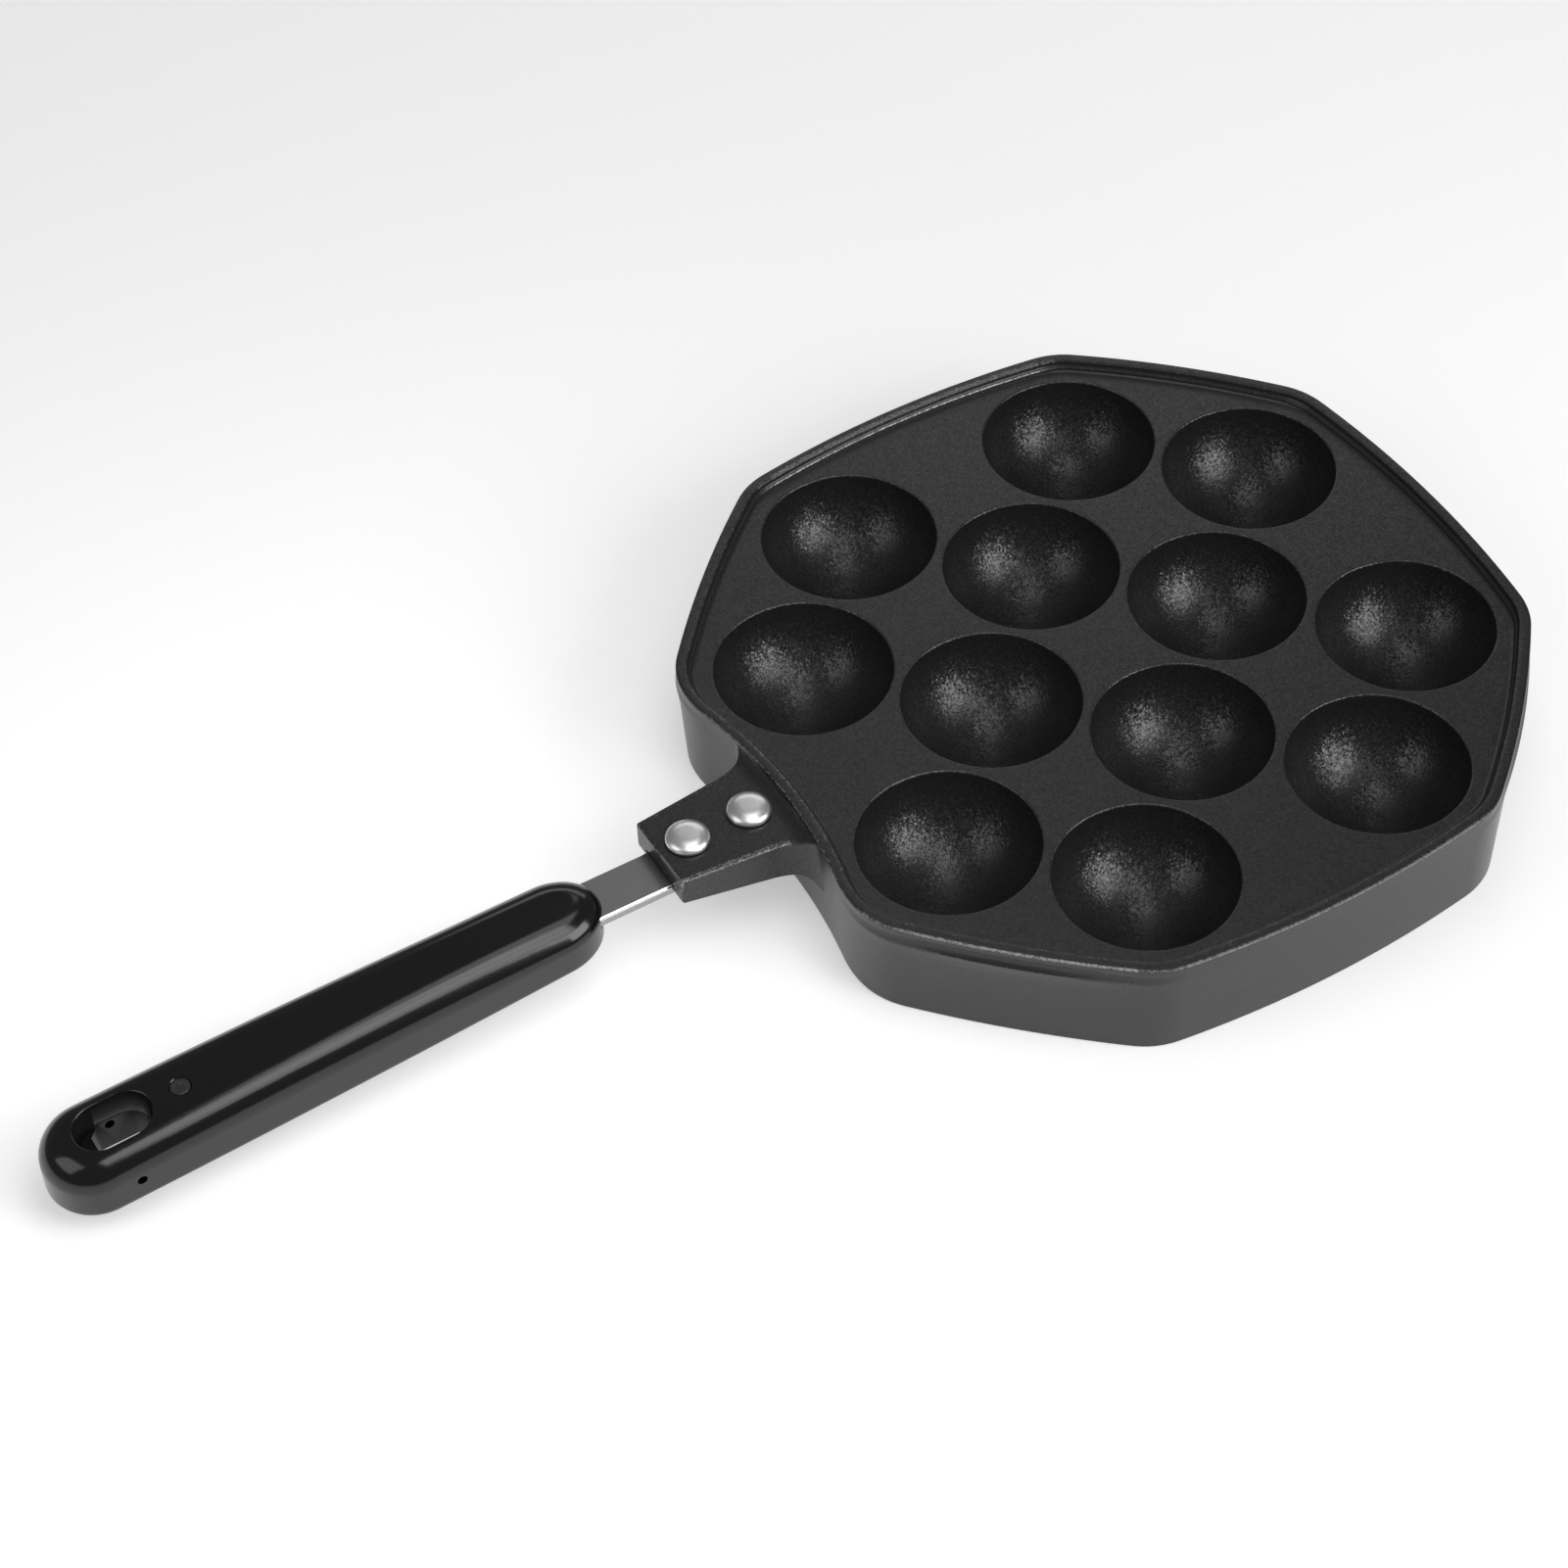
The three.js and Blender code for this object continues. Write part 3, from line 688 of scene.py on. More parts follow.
@dataclass(frozen=True)
class RolledSteel(Finish):
    """Stainless strip, rolled and tumbled.

    It gives an even satin grey on the flat, fine lines along the strip and a bright polished edge whose
    near-white colour is partly a painted highlight. Real rolling lines are about 0.02 mm apart, too fine to
    show, so they are drawn coarser.
    """

    name: str = "stainless steel strip, rolled and tumbled"
    steel: str = "#9c9c9e"
    # Near-white colour of the polished edge, partly a painted highlight
    edge: str = "#f4f4f4"
    roughness: float = 0.3
    dull_more: float = 0.07
    clean_less: float = 0.05
    edge_roughness: float = 0.2
    # Rolling lines: this far apart, stretched along the strip
    line_mm: float = 0.12
    line_length: float = 0.02
    line_depth_mm: float = 0.002
    line_strength: float = 0.6
    # Rare small darker stains, where the noise is lowest
    stain_mm: float = 1.4
    stain_full: float = 0.24
    stain_from: float = 0.36
    stain_shade: float = 0.45

    def surface(self, tree: bpy.types.NodeTree, place: bpy.types.NodeSocket) -> bpy.types.Node:
        """Add the strip's nodes.

        Args:
            tree: The material's node tree.
            place: Place on the piece, in metres.

        Returns:
            The shader node.
        """
        drawn = add_node(
            tree, "ShaderNodeMapping", {"Vector": place, "Scale": (self.line_length, 1.0, 1.0)}
        )
        lines = add_node(
            tree, "ShaderNodeTexNoise",
            {"Vector": drawn.outputs["Vector"], "Scale": per_metre(self.line_mm), "Detail": 3.0},
        )
        specks = add_node(
            tree, "ShaderNodeTexNoise",
            {"Vector": place, "Scale": per_metre(self.stain_mm), "Detail": 5.0, "Roughness": 0.7},
        ).outputs["Fac"]
        stain = add_node(
            tree, "ShaderNodeMapRange",
            {
                "Value": specks, "From Min": self.stain_full, "From Max": self.stain_from,
                "To Min": self.stain_shade, "To Max": 1.0,
            },
            clamp=True,
        )
        colour = add_node(
            tree, "ShaderNodeMix",
            {"Factor": 1.0, "A": linear_colour(self.steel), "B": stain.outputs["Result"]},
            data_type="RGBA", blend_type="MULTIPLY",
        )
        rough = add_node(
            tree, "ShaderNodeMapRange",
            {
                "Value": specks, "To Min": self.roughness + self.dull_more,
                "To Max": self.roughness - self.clean_less,
            },
        )
        # The strap's wear attribute is 1 on its polished edge, which is painted near white, partly as a
        # highlight of the light that the rounded edge catches.
        polished_edge_highlight = add_node(tree, "ShaderNodeAttribute", attribute_name="wear").outputs["Fac"]
        edge_highlight_colour = add_node(
            tree, "ShaderNodeMix",
            {"Factor": polished_edge_highlight, "A": colour.outputs["Result"], "B": linear_colour(self.edge)},
            data_type="RGBA",
        )
        edge_rough = add_node(
            tree, "ShaderNodeMix",
            {"Factor": polished_edge_highlight, "A": rough.outputs["Result"], "B": self.edge_roughness},
        )
        bump = add_node(
            tree, "ShaderNodeBump",
            {
                "Height": lines.outputs["Fac"], "Strength": self.line_strength,
                "Distance": self.line_depth_mm * MM,
            },
        )
        return add_node(
            tree, "ShaderNodeBsdfPrincipled",
            {
                "Base Color": edge_highlight_colour.outputs["Result"], "Metallic": 1.0,
                "Roughness": edge_rough.outputs["Result"], "Normal": bump.outputs["Normal"],
            },
        )


@dataclass(frozen=True)
class MetalFinish(Finish):
    """Solid metal with small dents and a cloudy roughness: a bright headed rivet or a dull pin end."""

    name: str
    metal: str
    shade: str
    roughness: float
    dent_mm: float
    dent_depth_mm: float
    smoothest: float = 0.8
    roughest: float = 1.25

    def surface(self, tree: bpy.types.NodeTree, place: bpy.types.NodeSocket) -> bpy.types.Node:
        """Add the metal's nodes.

        Args:
            tree: The material's node tree.
            place: Place on the piece, in metres.

        Returns:
            The shader node.
        """
        dents = add_node(
            tree, "ShaderNodeTexNoise",
            {"Vector": place, "Scale": per_metre(self.dent_mm), "Detail": 3.0, "Roughness": 0.6},
        ).outputs["Fac"]
        colour = add_node(
            tree, "ShaderNodeMix",
            {"Factor": dents, "A": linear_colour(self.shade), "B": linear_colour(self.metal)},
            data_type="RGBA",
        )
        rough = add_node(
            tree, "ShaderNodeMapRange",
            {
                "Value": dents, "To Min": self.roughness * self.smoothest,
                "To Max": self.roughness * self.roughest,
            },
        )
        bump = add_node(
            tree, "ShaderNodeBump", {"Height": dents, "Strength": 1.0, "Distance": self.dent_depth_mm * MM}
        )
        return add_node(
            tree, "ShaderNodeBsdfPrincipled",
            {
                "Base Color": colour.outputs["Result"], "Metallic": 1.0,
                "Roughness": rough.outputs["Result"], "Normal": bump.outputs["Normal"],
            },
        )


@dataclass(frozen=True)
class MouldedPhenolic(Finish):
    """Compression-moulded phenolic resin.

    It gives a near-black face with a clear gloss, broken by slight waves of the mould and rare fine pits,
    and a dull face inside the holes whose turned-down reflection is painted shade. Real pits are about 0.1
    mm wide, too fine to show, so they are drawn coarser.
    """

    name: str = "phenolic resin, compression moulded"
    dark: str = "#0a0a0b"
    light: str = "#0e0e0f"
    roughness: float = 0.14
    smooth_less: float = 0.03
    rough_more: float = 0.04
    ior: float = 1.55
    wave_mm: float = 9.0
    wave_depth_mm: float = 0.05
    pit_mm: float = 0.35
    pit_depth_mm: float = 0.004
    pits_from: float = 0.3
    pits_full: float = 0.7
    hole_roughness: float = 0.6
    face_level: float = 0.5
    # Lower reflection inside the holes: painted shade of the recess
    hole_shade_level: float = 0.12

    def surface(self, tree: bpy.types.NodeTree, place: bpy.types.NodeSocket) -> bpy.types.Node:
        """Add the resin's nodes.

        Args:
            tree: The material's node tree.
            place: Place on the piece, in metres.

        Returns:
            The shader node.
        """
        wave = add_node(
            tree, "ShaderNodeTexNoise", {"Vector": place, "Scale": per_metre(self.wave_mm), "Detail": 2.0}
        )
        pits = add_node(
            tree, "ShaderNodeTexNoise",
            {"Vector": place, "Scale": per_metre(self.pit_mm), "Detail": 3.0, "Roughness": 0.65},
        ).outputs["Fac"]
        colour = add_node(
            tree, "ShaderNodeMix",
            {"Factor": pits, "A": linear_colour(self.dark), "B": linear_colour(self.light)},
            data_type="RGBA",
        )
        rough = add_node(
            tree, "ShaderNodeMapRange",
            {
                "Value": pits, "From Min": self.pits_from, "From Max": self.pits_full,
                "To Min": self.roughness - self.smooth_less, "To Max": self.roughness + self.rough_more,
            },
        )
        # The grip's wear attribute is 1 on the walls of its holes, where a turned-down reflection paints the
        # shade of the recess.
        in_hole = add_node(tree, "ShaderNodeAttribute", attribute_name="wear").outputs["Fac"]
        face_rough = add_node(
            tree, "ShaderNodeMix",
            {"Factor": in_hole, "A": rough.outputs["Result"], "B": self.hole_roughness},
        )
        level = add_node(
            tree, "ShaderNodeMapRange",
            {"Value": in_hole, "To Min": self.face_level, "To Max": self.hole_shade_level},
        )
        bump = None
        for height, depth in ((wave.outputs["Fac"], self.wave_depth_mm), (pits, self.pit_depth_mm)):
            relief = {"Height": height, "Strength": 1.0, "Distance": depth * MM}
            if bump is not None:
                relief["Normal"] = bump.outputs["Normal"]
            bump = add_node(tree, "ShaderNodeBump", relief)
        return add_node(
            tree, "ShaderNodeBsdfPrincipled",
            {
                "Base Color": colour.outputs["Result"], "Roughness": face_rough.outputs["Result"],
                "IOR": self.ior, "Specular IOR Level": level.outputs["Result"],
                "Normal": bump.outputs["Normal"],
            },
        )


@dataclass(frozen=True)
class Station:
    """One ring of the casting's skin.

    share is how far down the wall its outline is taken, and inset how far that is moved in. swell is how far
    it stands out of the rim line on the diagonal sides, or None where it follows the wall. Its edge is worn
    by the share that wear gives; on some edges that wear also paints a highlight line.
    """

    share: float
    inset: float
    swell: float | None
    height: float
    edge: Edge = Edge.NONE
    wear: float = 0.0


@dataclass
class Casting:
    """The cast pan: rim, plate, twelve cups, skirt wall and the tab for the tang."""

    outline: PanOutline = field(default_factory=PanOutline)
    # Plate, rim, the step inside the rim, and the wall
    plate_height: float = 26.8
    rim_height: float = 29.2
    rim_width: float = 2.85
    step_rise: float = 1.1
    step_width: float = 0.8
    plate_thickness: float = 3.0
    skirt_wall: float = 3.0
    edge_radius: float = 0.45
    inner_fillet: float = 0.48
    under_fillet: float = 2.0
    foot_radius: float = 0.6
    plate_calm: float = 0.78
    # Ledge on the diagonal sides
    ledge_top: float = 27.0
    ledge_ridge: float = 24.6
    ledge_reach: float = 0.6
    ledge_groove: float = 0.4
    # Cups, and the bowls that they make under the plate
    cup_pitch: float = 46.0
    cup_radius: float = 21.6
    cup_depth: float = 19.5
    cup_lip: float = 0.6
    cup_sides: int = 112
    cup_rings: int = 26
    lip_steps: int = 6
    # Worn ring on the cups' lips, which also paints the lip's thin light line as a highlight
    lip_wear_and_highlight: float = 0.53
    lip_worn_and_lit_step: int = 2
    bowl_radius: float = 22.9
    bowl_bottom: float = 4.9
    bowl_sides: int = 72
    bowl_rings: int = 14
    # Tab for the tang, and the wall that it stands on
    handle_side_half: float = 41.46
    tab_end_x: float = -123.2
    tab_top: float = 26.6
    tab_end_half: float = 10.8
    tab_widening: float = 3.1
    tab_length: float = 32.7
    tab_end_depth: float = 7.4
    tab_root_depth: float = 11.9
    tab_root_run: float = 9.0
    tab_root_flare: float = 6.5
    tab_wall_x: float = -91.5
    tab_edge_radius: float = 0.5
    tab_blend: float = 2.1
    tab_blend_run: float = 4.2
    tab_end_steps: int = 4
    tab_straight_steps: int = 16
    tab_flare_steps: int = 18
    tab_edge_steps: int = 5
    tab_edge_skirt: float = 0.35
    tab_clean_root: float = 4.0
    tab_near_wear: float = 0.5
    tab_far_wear: float = 0.3
    tab_end_wear: float = 0.12
    # Space for the tang, and the rivet holes
    channel_half: float = 6.5
    channel_end_x: float = -91.5
    channel_top: float = 21.5
    channel_overrun: float = 3.0
    channel_overdepth: float = 4.0
    rivet_hole_radius: float = 2.8
    rivet_hole_sides: int = 48

    def cup_centres(self) -> list[tuple[float, float]]:
        """Find the cups: four rows of four without the corner ones, turned by 45 degrees.

        Returns:
            Plan places of the twelve centres.
        """
        rows = (-1.5, -0.5, 0.5, 1.5)
        turn = self.cup_pitch / math.sqrt(2)
        return [
            ((across + along) * turn, (along - across) * turn)
            for across in rows
            for along in rows
            if abs(across) + abs(along) < 3
        ]

    def wear_and_highlight_on(self, loop: Loop, edge: Edge) -> np.ndarray:
        """How worn an edge is along an outline, and on some sides how strongly a highlight line is painted
        along it.

        Args:
            loop: The outline.
            edge: Which edge it is.

        Returns:
            One value from 0 to 1 for each point.
        """
        # One value for each side, counterclockwise from the front. Besides real wear, the values on the
        # ridges, the bands below the rim and the handle side's outer rim edge paint soft light lines, a
        # painted highlight where these edges catch light.
        worn = {
            Edge.NONE: (0, 0, 0, 0, 0, 0, 0, 0),
            Edge.RIM_OUTER: (0.25, 0.3, 0.3, 0.35, 0.48, 0.66, 0.68, 0.32),
            Edge.RIM_INNER: (0.25, 0.3, 0.68, 0.36, 0.44, 0.34, 0.36, 0.32),
            Edge.STEP: (0.2, 0.3, 0.6, 0.3, 0.34, 0.3, 0.3, 0.28),
            Edge.RIDGE: (0, 0.3, 0, 0.3, 0, 0.34, 0, 0.3),
            Edge.BAND: (0.25, 0, 0.3, 0, 0.3, 0, 0.38, 0),
            Edge.FOOT: (0.3, 0.3, 0.3, 0.3, 0.3, 0.3, 0.3, 0.3),
        }[edge]
        corner_run, corner_share = 0.12, 0.78
        fade = np.clip((1 - np.abs(loop.station)) / corner_run, 0, 1)
        return np.array(worn, float)[loop.side] * (corner_share + (1 - corner_share) * fade)

    def profile(self) -> list[Station]:
        """List the rings of the outer skin from the foot, over the rim, to the plate.

        Returns:
            The rings in order.
        """
        rim, edge, foot, fillet = self.rim_height, self.edge_radius, self.foot_radius, self.inner_fillet
        rim_in, step_in = self.rim_width, self.rim_width + self.step_width
        step_z = self.plate_height + self.step_rise
        ridge, ledge = self.ledge_ridge, self.ledge_top
        ridge_share, top_share = 1 - ridge / rim, 1 - ledge / rim
        reach, groove = self.ledge_reach, -self.ledge_groove
        wall = [
            Station(1.0, foot, None, 0.0),
            Station(1.0, foot * SOFT, None, foot * SOFT, Edge.FOOT, 1.0),
            Station(1.0, 0.0, None, foot),
            Station(0.66, 0.0, None, rim * 0.34),
            Station(0.33, 0.0, None, rim * 0.67),
        ]
        # The ridge, the groove and the band between them stand on the diagonal sides only.
        diagonal_ledge = [
            Station(ridge_share + 0.02, 0.0, reach - 0.1, ridge - 0.7),
            Station(ridge_share, 0.0, reach, ridge, Edge.RIDGE, 1.0),
            Station(ridge_share - 0.01, 0.0, reach - 0.2, ridge + 0.3, Edge.RIDGE, 0.7),
            Station(0.115, 0.0, groove + 0.35, ridge + 1.0),
            Station(0.1, 0.0, groove + 0.2, ridge + 1.5, Edge.BAND, 1.0),
            Station(0.09, 0.0, groove + 0.1, ridge + 1.9),
            Station(top_share, 0.0, groove, ledge),
            Station(0.06, 0.0, groove / 2, ledge + 0.25),
            Station(0.04, 0.0, None, ledge + 0.6),
        ]
        rim_top = [
            Station(0.01, 0.0, None, rim - edge - 0.2),
            Station(0.0, 0.0, None, rim - edge, Edge.RIM_OUTER, 0.8),
            Station(0.0, edge * SOFT, None, rim - edge * SOFT, Edge.RIM_OUTER, 1.0),
            Station(0.0, edge, None, rim, Edge.RIM_OUTER, 0.8),
            Station(0.0, edge * 2, None, rim),
            Station(0.0, rim_in - edge * 4, None, rim),
            Station(0.0, rim_in - edge * 2.5, None, rim, Edge.RIM_INNER, 0.72),
            Station(0.0, rim_in - edge, None, rim, Edge.RIM_INNER, 0.85),
            Station(0.0, rim_in - edge * SOFT, None, rim - edge * SOFT, Edge.RIM_INNER, 1.0),
            Station(0.0, rim_in, None, rim - edge, Edge.RIM_INNER, 0.5),
        ]
        step = [
            Station(0.0, rim_in + 0.1, None, step_z + fillet),
            Station(0.0, rim_in + fillet * 0.6, None, step_z + fillet * SOFT),
            Station(0.0, rim_in + fillet, None, step_z),
            Station(0.0, step_in - edge * 0.5, None, step_z - edge * 0.15, Edge.STEP, 0.8),
            Station(0.0, step_in - edge * 0.1, None, step_z - edge * 0.5, Edge.STEP, 1.0),
            Station(0.0, step_in + edge * 0.15, None, step_z - edge, Edge.STEP, 0.6),
            Station(0.0, step_in + edge * 0.45, None, self.plate_height + fillet * 0.6),
            Station(0.0, step_in + edge + fillet * SOFT, None, self.plate_height + fillet * 0.2),
            Station(0.0, step_in + edge + fillet, None, self.plate_height),
        ]
        return wall + diagonal_ledge + rim_top + step

    def shell(self) -> bpy.types.Object:
        """Make the skirt wall, rim, plate, cups and underside as one closed skin.

        Returns:
            The new object.
        """
        skin = Skin()
        rings = []
        for ring in self.profile():
            loop = self.outline.loop(ring.share, ring.inset, ring.swell)
            on_wall = ring.height < self.rim_height - self.edge_radius and ring.inset == 0.0
            outside = 1.0 if on_wall else self.plate_calm
            rings.append(
                skin.ring(loop.points, ring.height, self.wear_and_highlight_on(loop, ring.edge) * ring.wear, outside)
            )
        skin.stack(rings)
        underside = self.plate_height - self.plate_thickness
        inner_foot, fillet = self.foot_radius * 0.5, self.under_fillet
        inner = [
            (1.0, self.skirt_wall - inner_foot, 0.0),
            (1.0, self.skirt_wall - inner_foot * SOFT, inner_foot * SOFT),
            (1.0, self.skirt_wall, inner_foot),
            (0.25, self.skirt_wall, underside - fillet),
            (0.2, self.skirt_wall + fillet * SOFT, underside - fillet * SOFT),
            (0.2, self.skirt_wall + fillet, underside),
        ]
        inner_rings = [
            skin.ring(self.outline.loop(share, inset).points, height) for share, inset, height in inner
        ]
        skin.bridge(rings[0], inner_rings[0])
        skin.stack(inner_rings)
        lips, bowls = [], []
        for x, y in self.cup_centres():
            lips.append(self.add_cup(skin, x, y))
            bowls.append(self.add_bowl(skin, x, y, underside))
        skin.fill(rings[-1], lips, self.near_cup(self.cup_radius + self.cup_lip))
        skin.fill(inner_rings[-1], bowls, self.near_cup(self.bowl_radius))
        return skin.mesh("pan_casting")

    def near_cup(self, radius: float) -> Callable[[float, float], bool]:
        """Make a test that tells whether a plan place lies within a radius of a cup's centre.

        Args:
            radius: The radius, from which the test leaves out a hair's width for rounding.

        Returns:
            The test.
        """
        hair = 0.02
        centres, reach = np.array(self.cup_centres()), radius - hair

        def near(x: float, y: float) -> bool:
            """Tell whether a place lies within reach of a centre."""
            return bool((np.hypot(centres[:, 0] - x, centres[:, 1] - y) < reach).any())

        return near

    def add_cup(self, skin: Skin, x: float, y: float) -> np.ndarray:
        """Add one cup with its rounded lip.

        Args:
            skin: Skin that gets the cup.
            x: The cup's centre.
            y: The cup's centre.

        Returns:
            The ring where the lip meets the plate.
        """
        rings = []
        lip, top = self.cup_lip, self.plate_height
        for step in range(self.lip_steps + 1):
            angle = QUARTER * (1 - step / self.lip_steps)
            places = circle(self.cup_radius + lip - lip * math.cos(angle), self.cup_sides, x, y)
            # The worn ring also stands in for the gloss line on the rounded lip: a painted highlight.
            worn = self.lip_wear_and_highlight if step == self.lip_worn_and_lit_step else 0.0
            calm = self.plate_calm if step <= self.lip_worn_and_lit_step else 0.0
            rings.append(skin.ring(places, top - lip + lip * math.sin(angle), worn, calm))
        sphere = (self.cup_radius**2 + (self.cup_depth - lip) ** 2) / (2 * (self.cup_depth - lip))
        middle = top - self.cup_depth + sphere
        widest = math.acos((middle - (top - lip)) / sphere)
        for step in range(1, self.cup_rings):
            angle = widest * (1 - step / self.cup_rings)
            places = circle(sphere * math.sin(angle), self.cup_sides, x, y)
            rings.append(skin.ring(places, middle - sphere * math.cos(angle)))
        skin.stack(rings)
        skin.point(rings[-1], x, y, top - self.cup_depth)
        return rings[0]

    def add_bowl(self, skin: Skin, x: float, y: float, underside: float) -> np.ndarray:
        """Add the outside of one cup, under the plate.

        Args:
            skin: Skin that gets the bowl.
            x: The cup's centre.
            y: The cup's centre.
            underside: Height of the plate's underside.

        Returns:
            The ring where the bowl leaves the plate.
        """
        depth = underside - self.bowl_bottom
        sphere = (self.bowl_radius**2 + depth**2) / (2 * depth)
        middle = self.bowl_bottom + sphere
        widest = math.acos((middle - underside) / sphere)
        rings = []
        for step in range(self.bowl_rings):
            angle = widest * (1 - step / self.bowl_rings)
            places = circle(sphere * math.sin(angle), self.bowl_sides, x, y)
            rings.append(skin.ring(places, middle - sphere * math.cos(angle)))
        skin.stack(rings)
        skin.point(rings[-1], x, y, self.bowl_bottom)
        return rings[0]

    def wall_x(self, y: float) -> float:
        """Place of the handle side's wall at a distance from the middle plane."""
        handle = self.outline.handle
        return -(handle.reach - handle.bow * (y / self.handle_side_half) ** 2)

    def tab_half(self, x: float) -> float:
        """Half width of the tab's straight part."""
        return self.tab_end_half + self.tab_widening * (x - self.tab_end_x) / self.tab_length

    def tab_stations(self) -> list[tuple[float, float, float]]:
        """List the tab's cross sections from its end to inside the wall.

        Returns:
            Place, half width and edge inset of each.
        """
        radius = self.tab_edge_radius
        sections = []
        for step in reversed(range(self.tab_end_steps + 1)):
            angle = QUARTER * step / self.tab_end_steps
            x, inset = self.tab_end_x + radius * (1 - math.sin(angle)), radius * (1 - math.cos(angle))
            sections.append((x, self.tab_half(x) - inset, inset))
        flare_x = self.tab_wall_x - self.tab_root_run
        for x in np.linspace(self.tab_end_x + radius, flare_x, self.tab_straight_steps)[1:-1]:
            sections.append((float(x), self.tab_half(x), 0.0))
        wall_half = self.tab_half(self.tab_wall_x)
        root_half = wall_half + self.tab_root_flare
        # The sides swing out in a curve, up to nearly its end.
        for t in np.linspace(0, 0.97, self.tab_flare_steps):
            x = self.tab_wall_x - (1 - t) ** 2 * self.tab_root_run
            half = (1 - t) ** 2 * self.tab_half(flare_x) + 2 * t * (1 - t) * wall_half + t * t * root_half
            sections.append((float(x), float(half), 0.0))
        for into_wall in (0.15, 0.3, 0.45, 0.6, 0.75, 0.87, 0.97, 1.1, 2.3):
            sections.append((self.tab_wall_x + into_wall, root_half, 0.0))
        return sections

    def blend_rise(self, x: float, y: float) -> float:
        """How far the tab's faces rise into the wall in the hollow blend at its root."""
        gap = min(max(self.wall_x(y) - x, 0.0) / self.tab_blend_run, 1.0)
        return self.tab_blend * (1 - math.sqrt(1 - (1 - gap) ** 2))

    def tab_wear(self, x: float, y: float, drop: float, half: float, inset: float) -> float:
        """How worn the tab's upper skin is at a point.

        Args:
            x: The point's place.
            y: The point's place.
            drop: How far it lies below the section's top.
            half: The section's half width.
            inset: The section's edge inset, which is 0 away from the tab's end.

        Returns:
            The wear from 0 to 1.
        """
        radius = self.tab_edge_radius
        strength = self.tab_near_wear if y < 0 else self.tab_far_wear
        if 0 < inset < radius:
            return strength + self.tab_end_wear
        on_edge = abs(y) > half - radius and drop < radius * 0.9
        beside_edge = abs(y) > (half - radius) * 0.94 and drop < radius * 0.5
        clear_of_root = x < self.tab_wall_x - self.tab_clean_root
        return strength if (on_edge or beside_edge) and clear_of_root else 0.0

    def tab(self) -> bpy.types.Object:
        """Make the tab as a closed solid with rounded edges and a hollow blend into the wall.

        Returns:
            The new object.
        """
        radius = self.tab_edge_radius
        across = np.concatenate([[-1.0, -0.95], np.linspace(-0.85, 0.85, 17), [0.95, 1.0]])
        turn = np.linspace(0, QUARTER, self.tab_edge_steps + 1)
        corner = [(1 - math.sin(a), 1 - math.cos(a)) for a in turn]
        skin = Skin()
        rings = []
        for x, half, inset in self.tab_stations():
            run = (x - self.tab_end_x) / self.tab_length
            depth = self.tab_end_depth + (self.tab_root_depth - self.tab_end_depth) * run
            high, low = self.tab_top - inset, self.tab_top - depth + inset
            flat = half - radius
            below_edge = high - radius - self.tab_edge_skirt
            # Round the section: place, height and whether it belongs to the upper or the lower skin
            section = [(float(s) * flat, high, 1) for s in across]
            section += [(half - radius * u, high - radius * v, 1) for u, v in corner[1:]]
            section.append((half, below_edge, 1))
            section += [(half - radius * v, low + radius * u, -1) for u, v in corner[1:]]
            section += [(float(s) * flat, low, -1) for s in across[::-1]]
            section += [(-(half - radius * u), low + radius * v, -1) for u, v in corner[1:]]
            section.append((-half, below_edge, 1))
            section += [(-(half - radius * v), high - radius * u, 1) for u, v in corner[:-1]]
            heights = [z + way * self.blend_rise(x, y) for y, z, way in section]
            worn = [self.tab_wear(x, y, high - z, half, inset) if way > 0 else 0.0 for y, z, way in section]
            places = np.array([(x, y) for y, _, _ in section])
            rings.append(skin.ring(places, np.array(heights), np.array(worn), self.plate_calm))
        return skin.solid(rings, "tab")

    def channel(self) -> bpy.types.Object:
        """Make the space under the tab that takes the tang.

        Returns:
            The cutter.
        """
        start, end, half = self.tab_end_x - self.channel_overrun, self.channel_end_x, self.channel_half
        corners = np.array([(start, -half), (end, -half), (end, half), (start, half)])
        low = self.tab_top - self.tab_root_depth - self.channel_overdepth
        skin = Skin()
        return skin.solid([skin.ring(corners, low), skin.ring(corners, self.channel_top)], "channel")

    def build(self, rivets: Iterable[float], finish: bpy.types.Material) -> bpy.types.Object:
        """Build and dress the casting.

        Args:
            rivets: Places of the rivets along X.
            finish: The coating.

        Returns:
            The finished piece.
        """
        piece = self.shell()
        carve(piece, self.tab(), Cut.JOIN)
        carve(piece, self.channel(), Cut.REMOVE)
        radius, past = self.rivet_hole_radius, 1.0
        hole = [(radius, self.channel_top - past), (radius, self.tab_top + past)]
        for x in rivets:
            carve(piece, lathe("rivet_hole", hole, x, 0.0, self.rivet_hole_sides), Cut.REMOVE)
        finish_mesh(piece, "pan_casting")
        place_piece(piece, "pan_body", finish)
        return piece


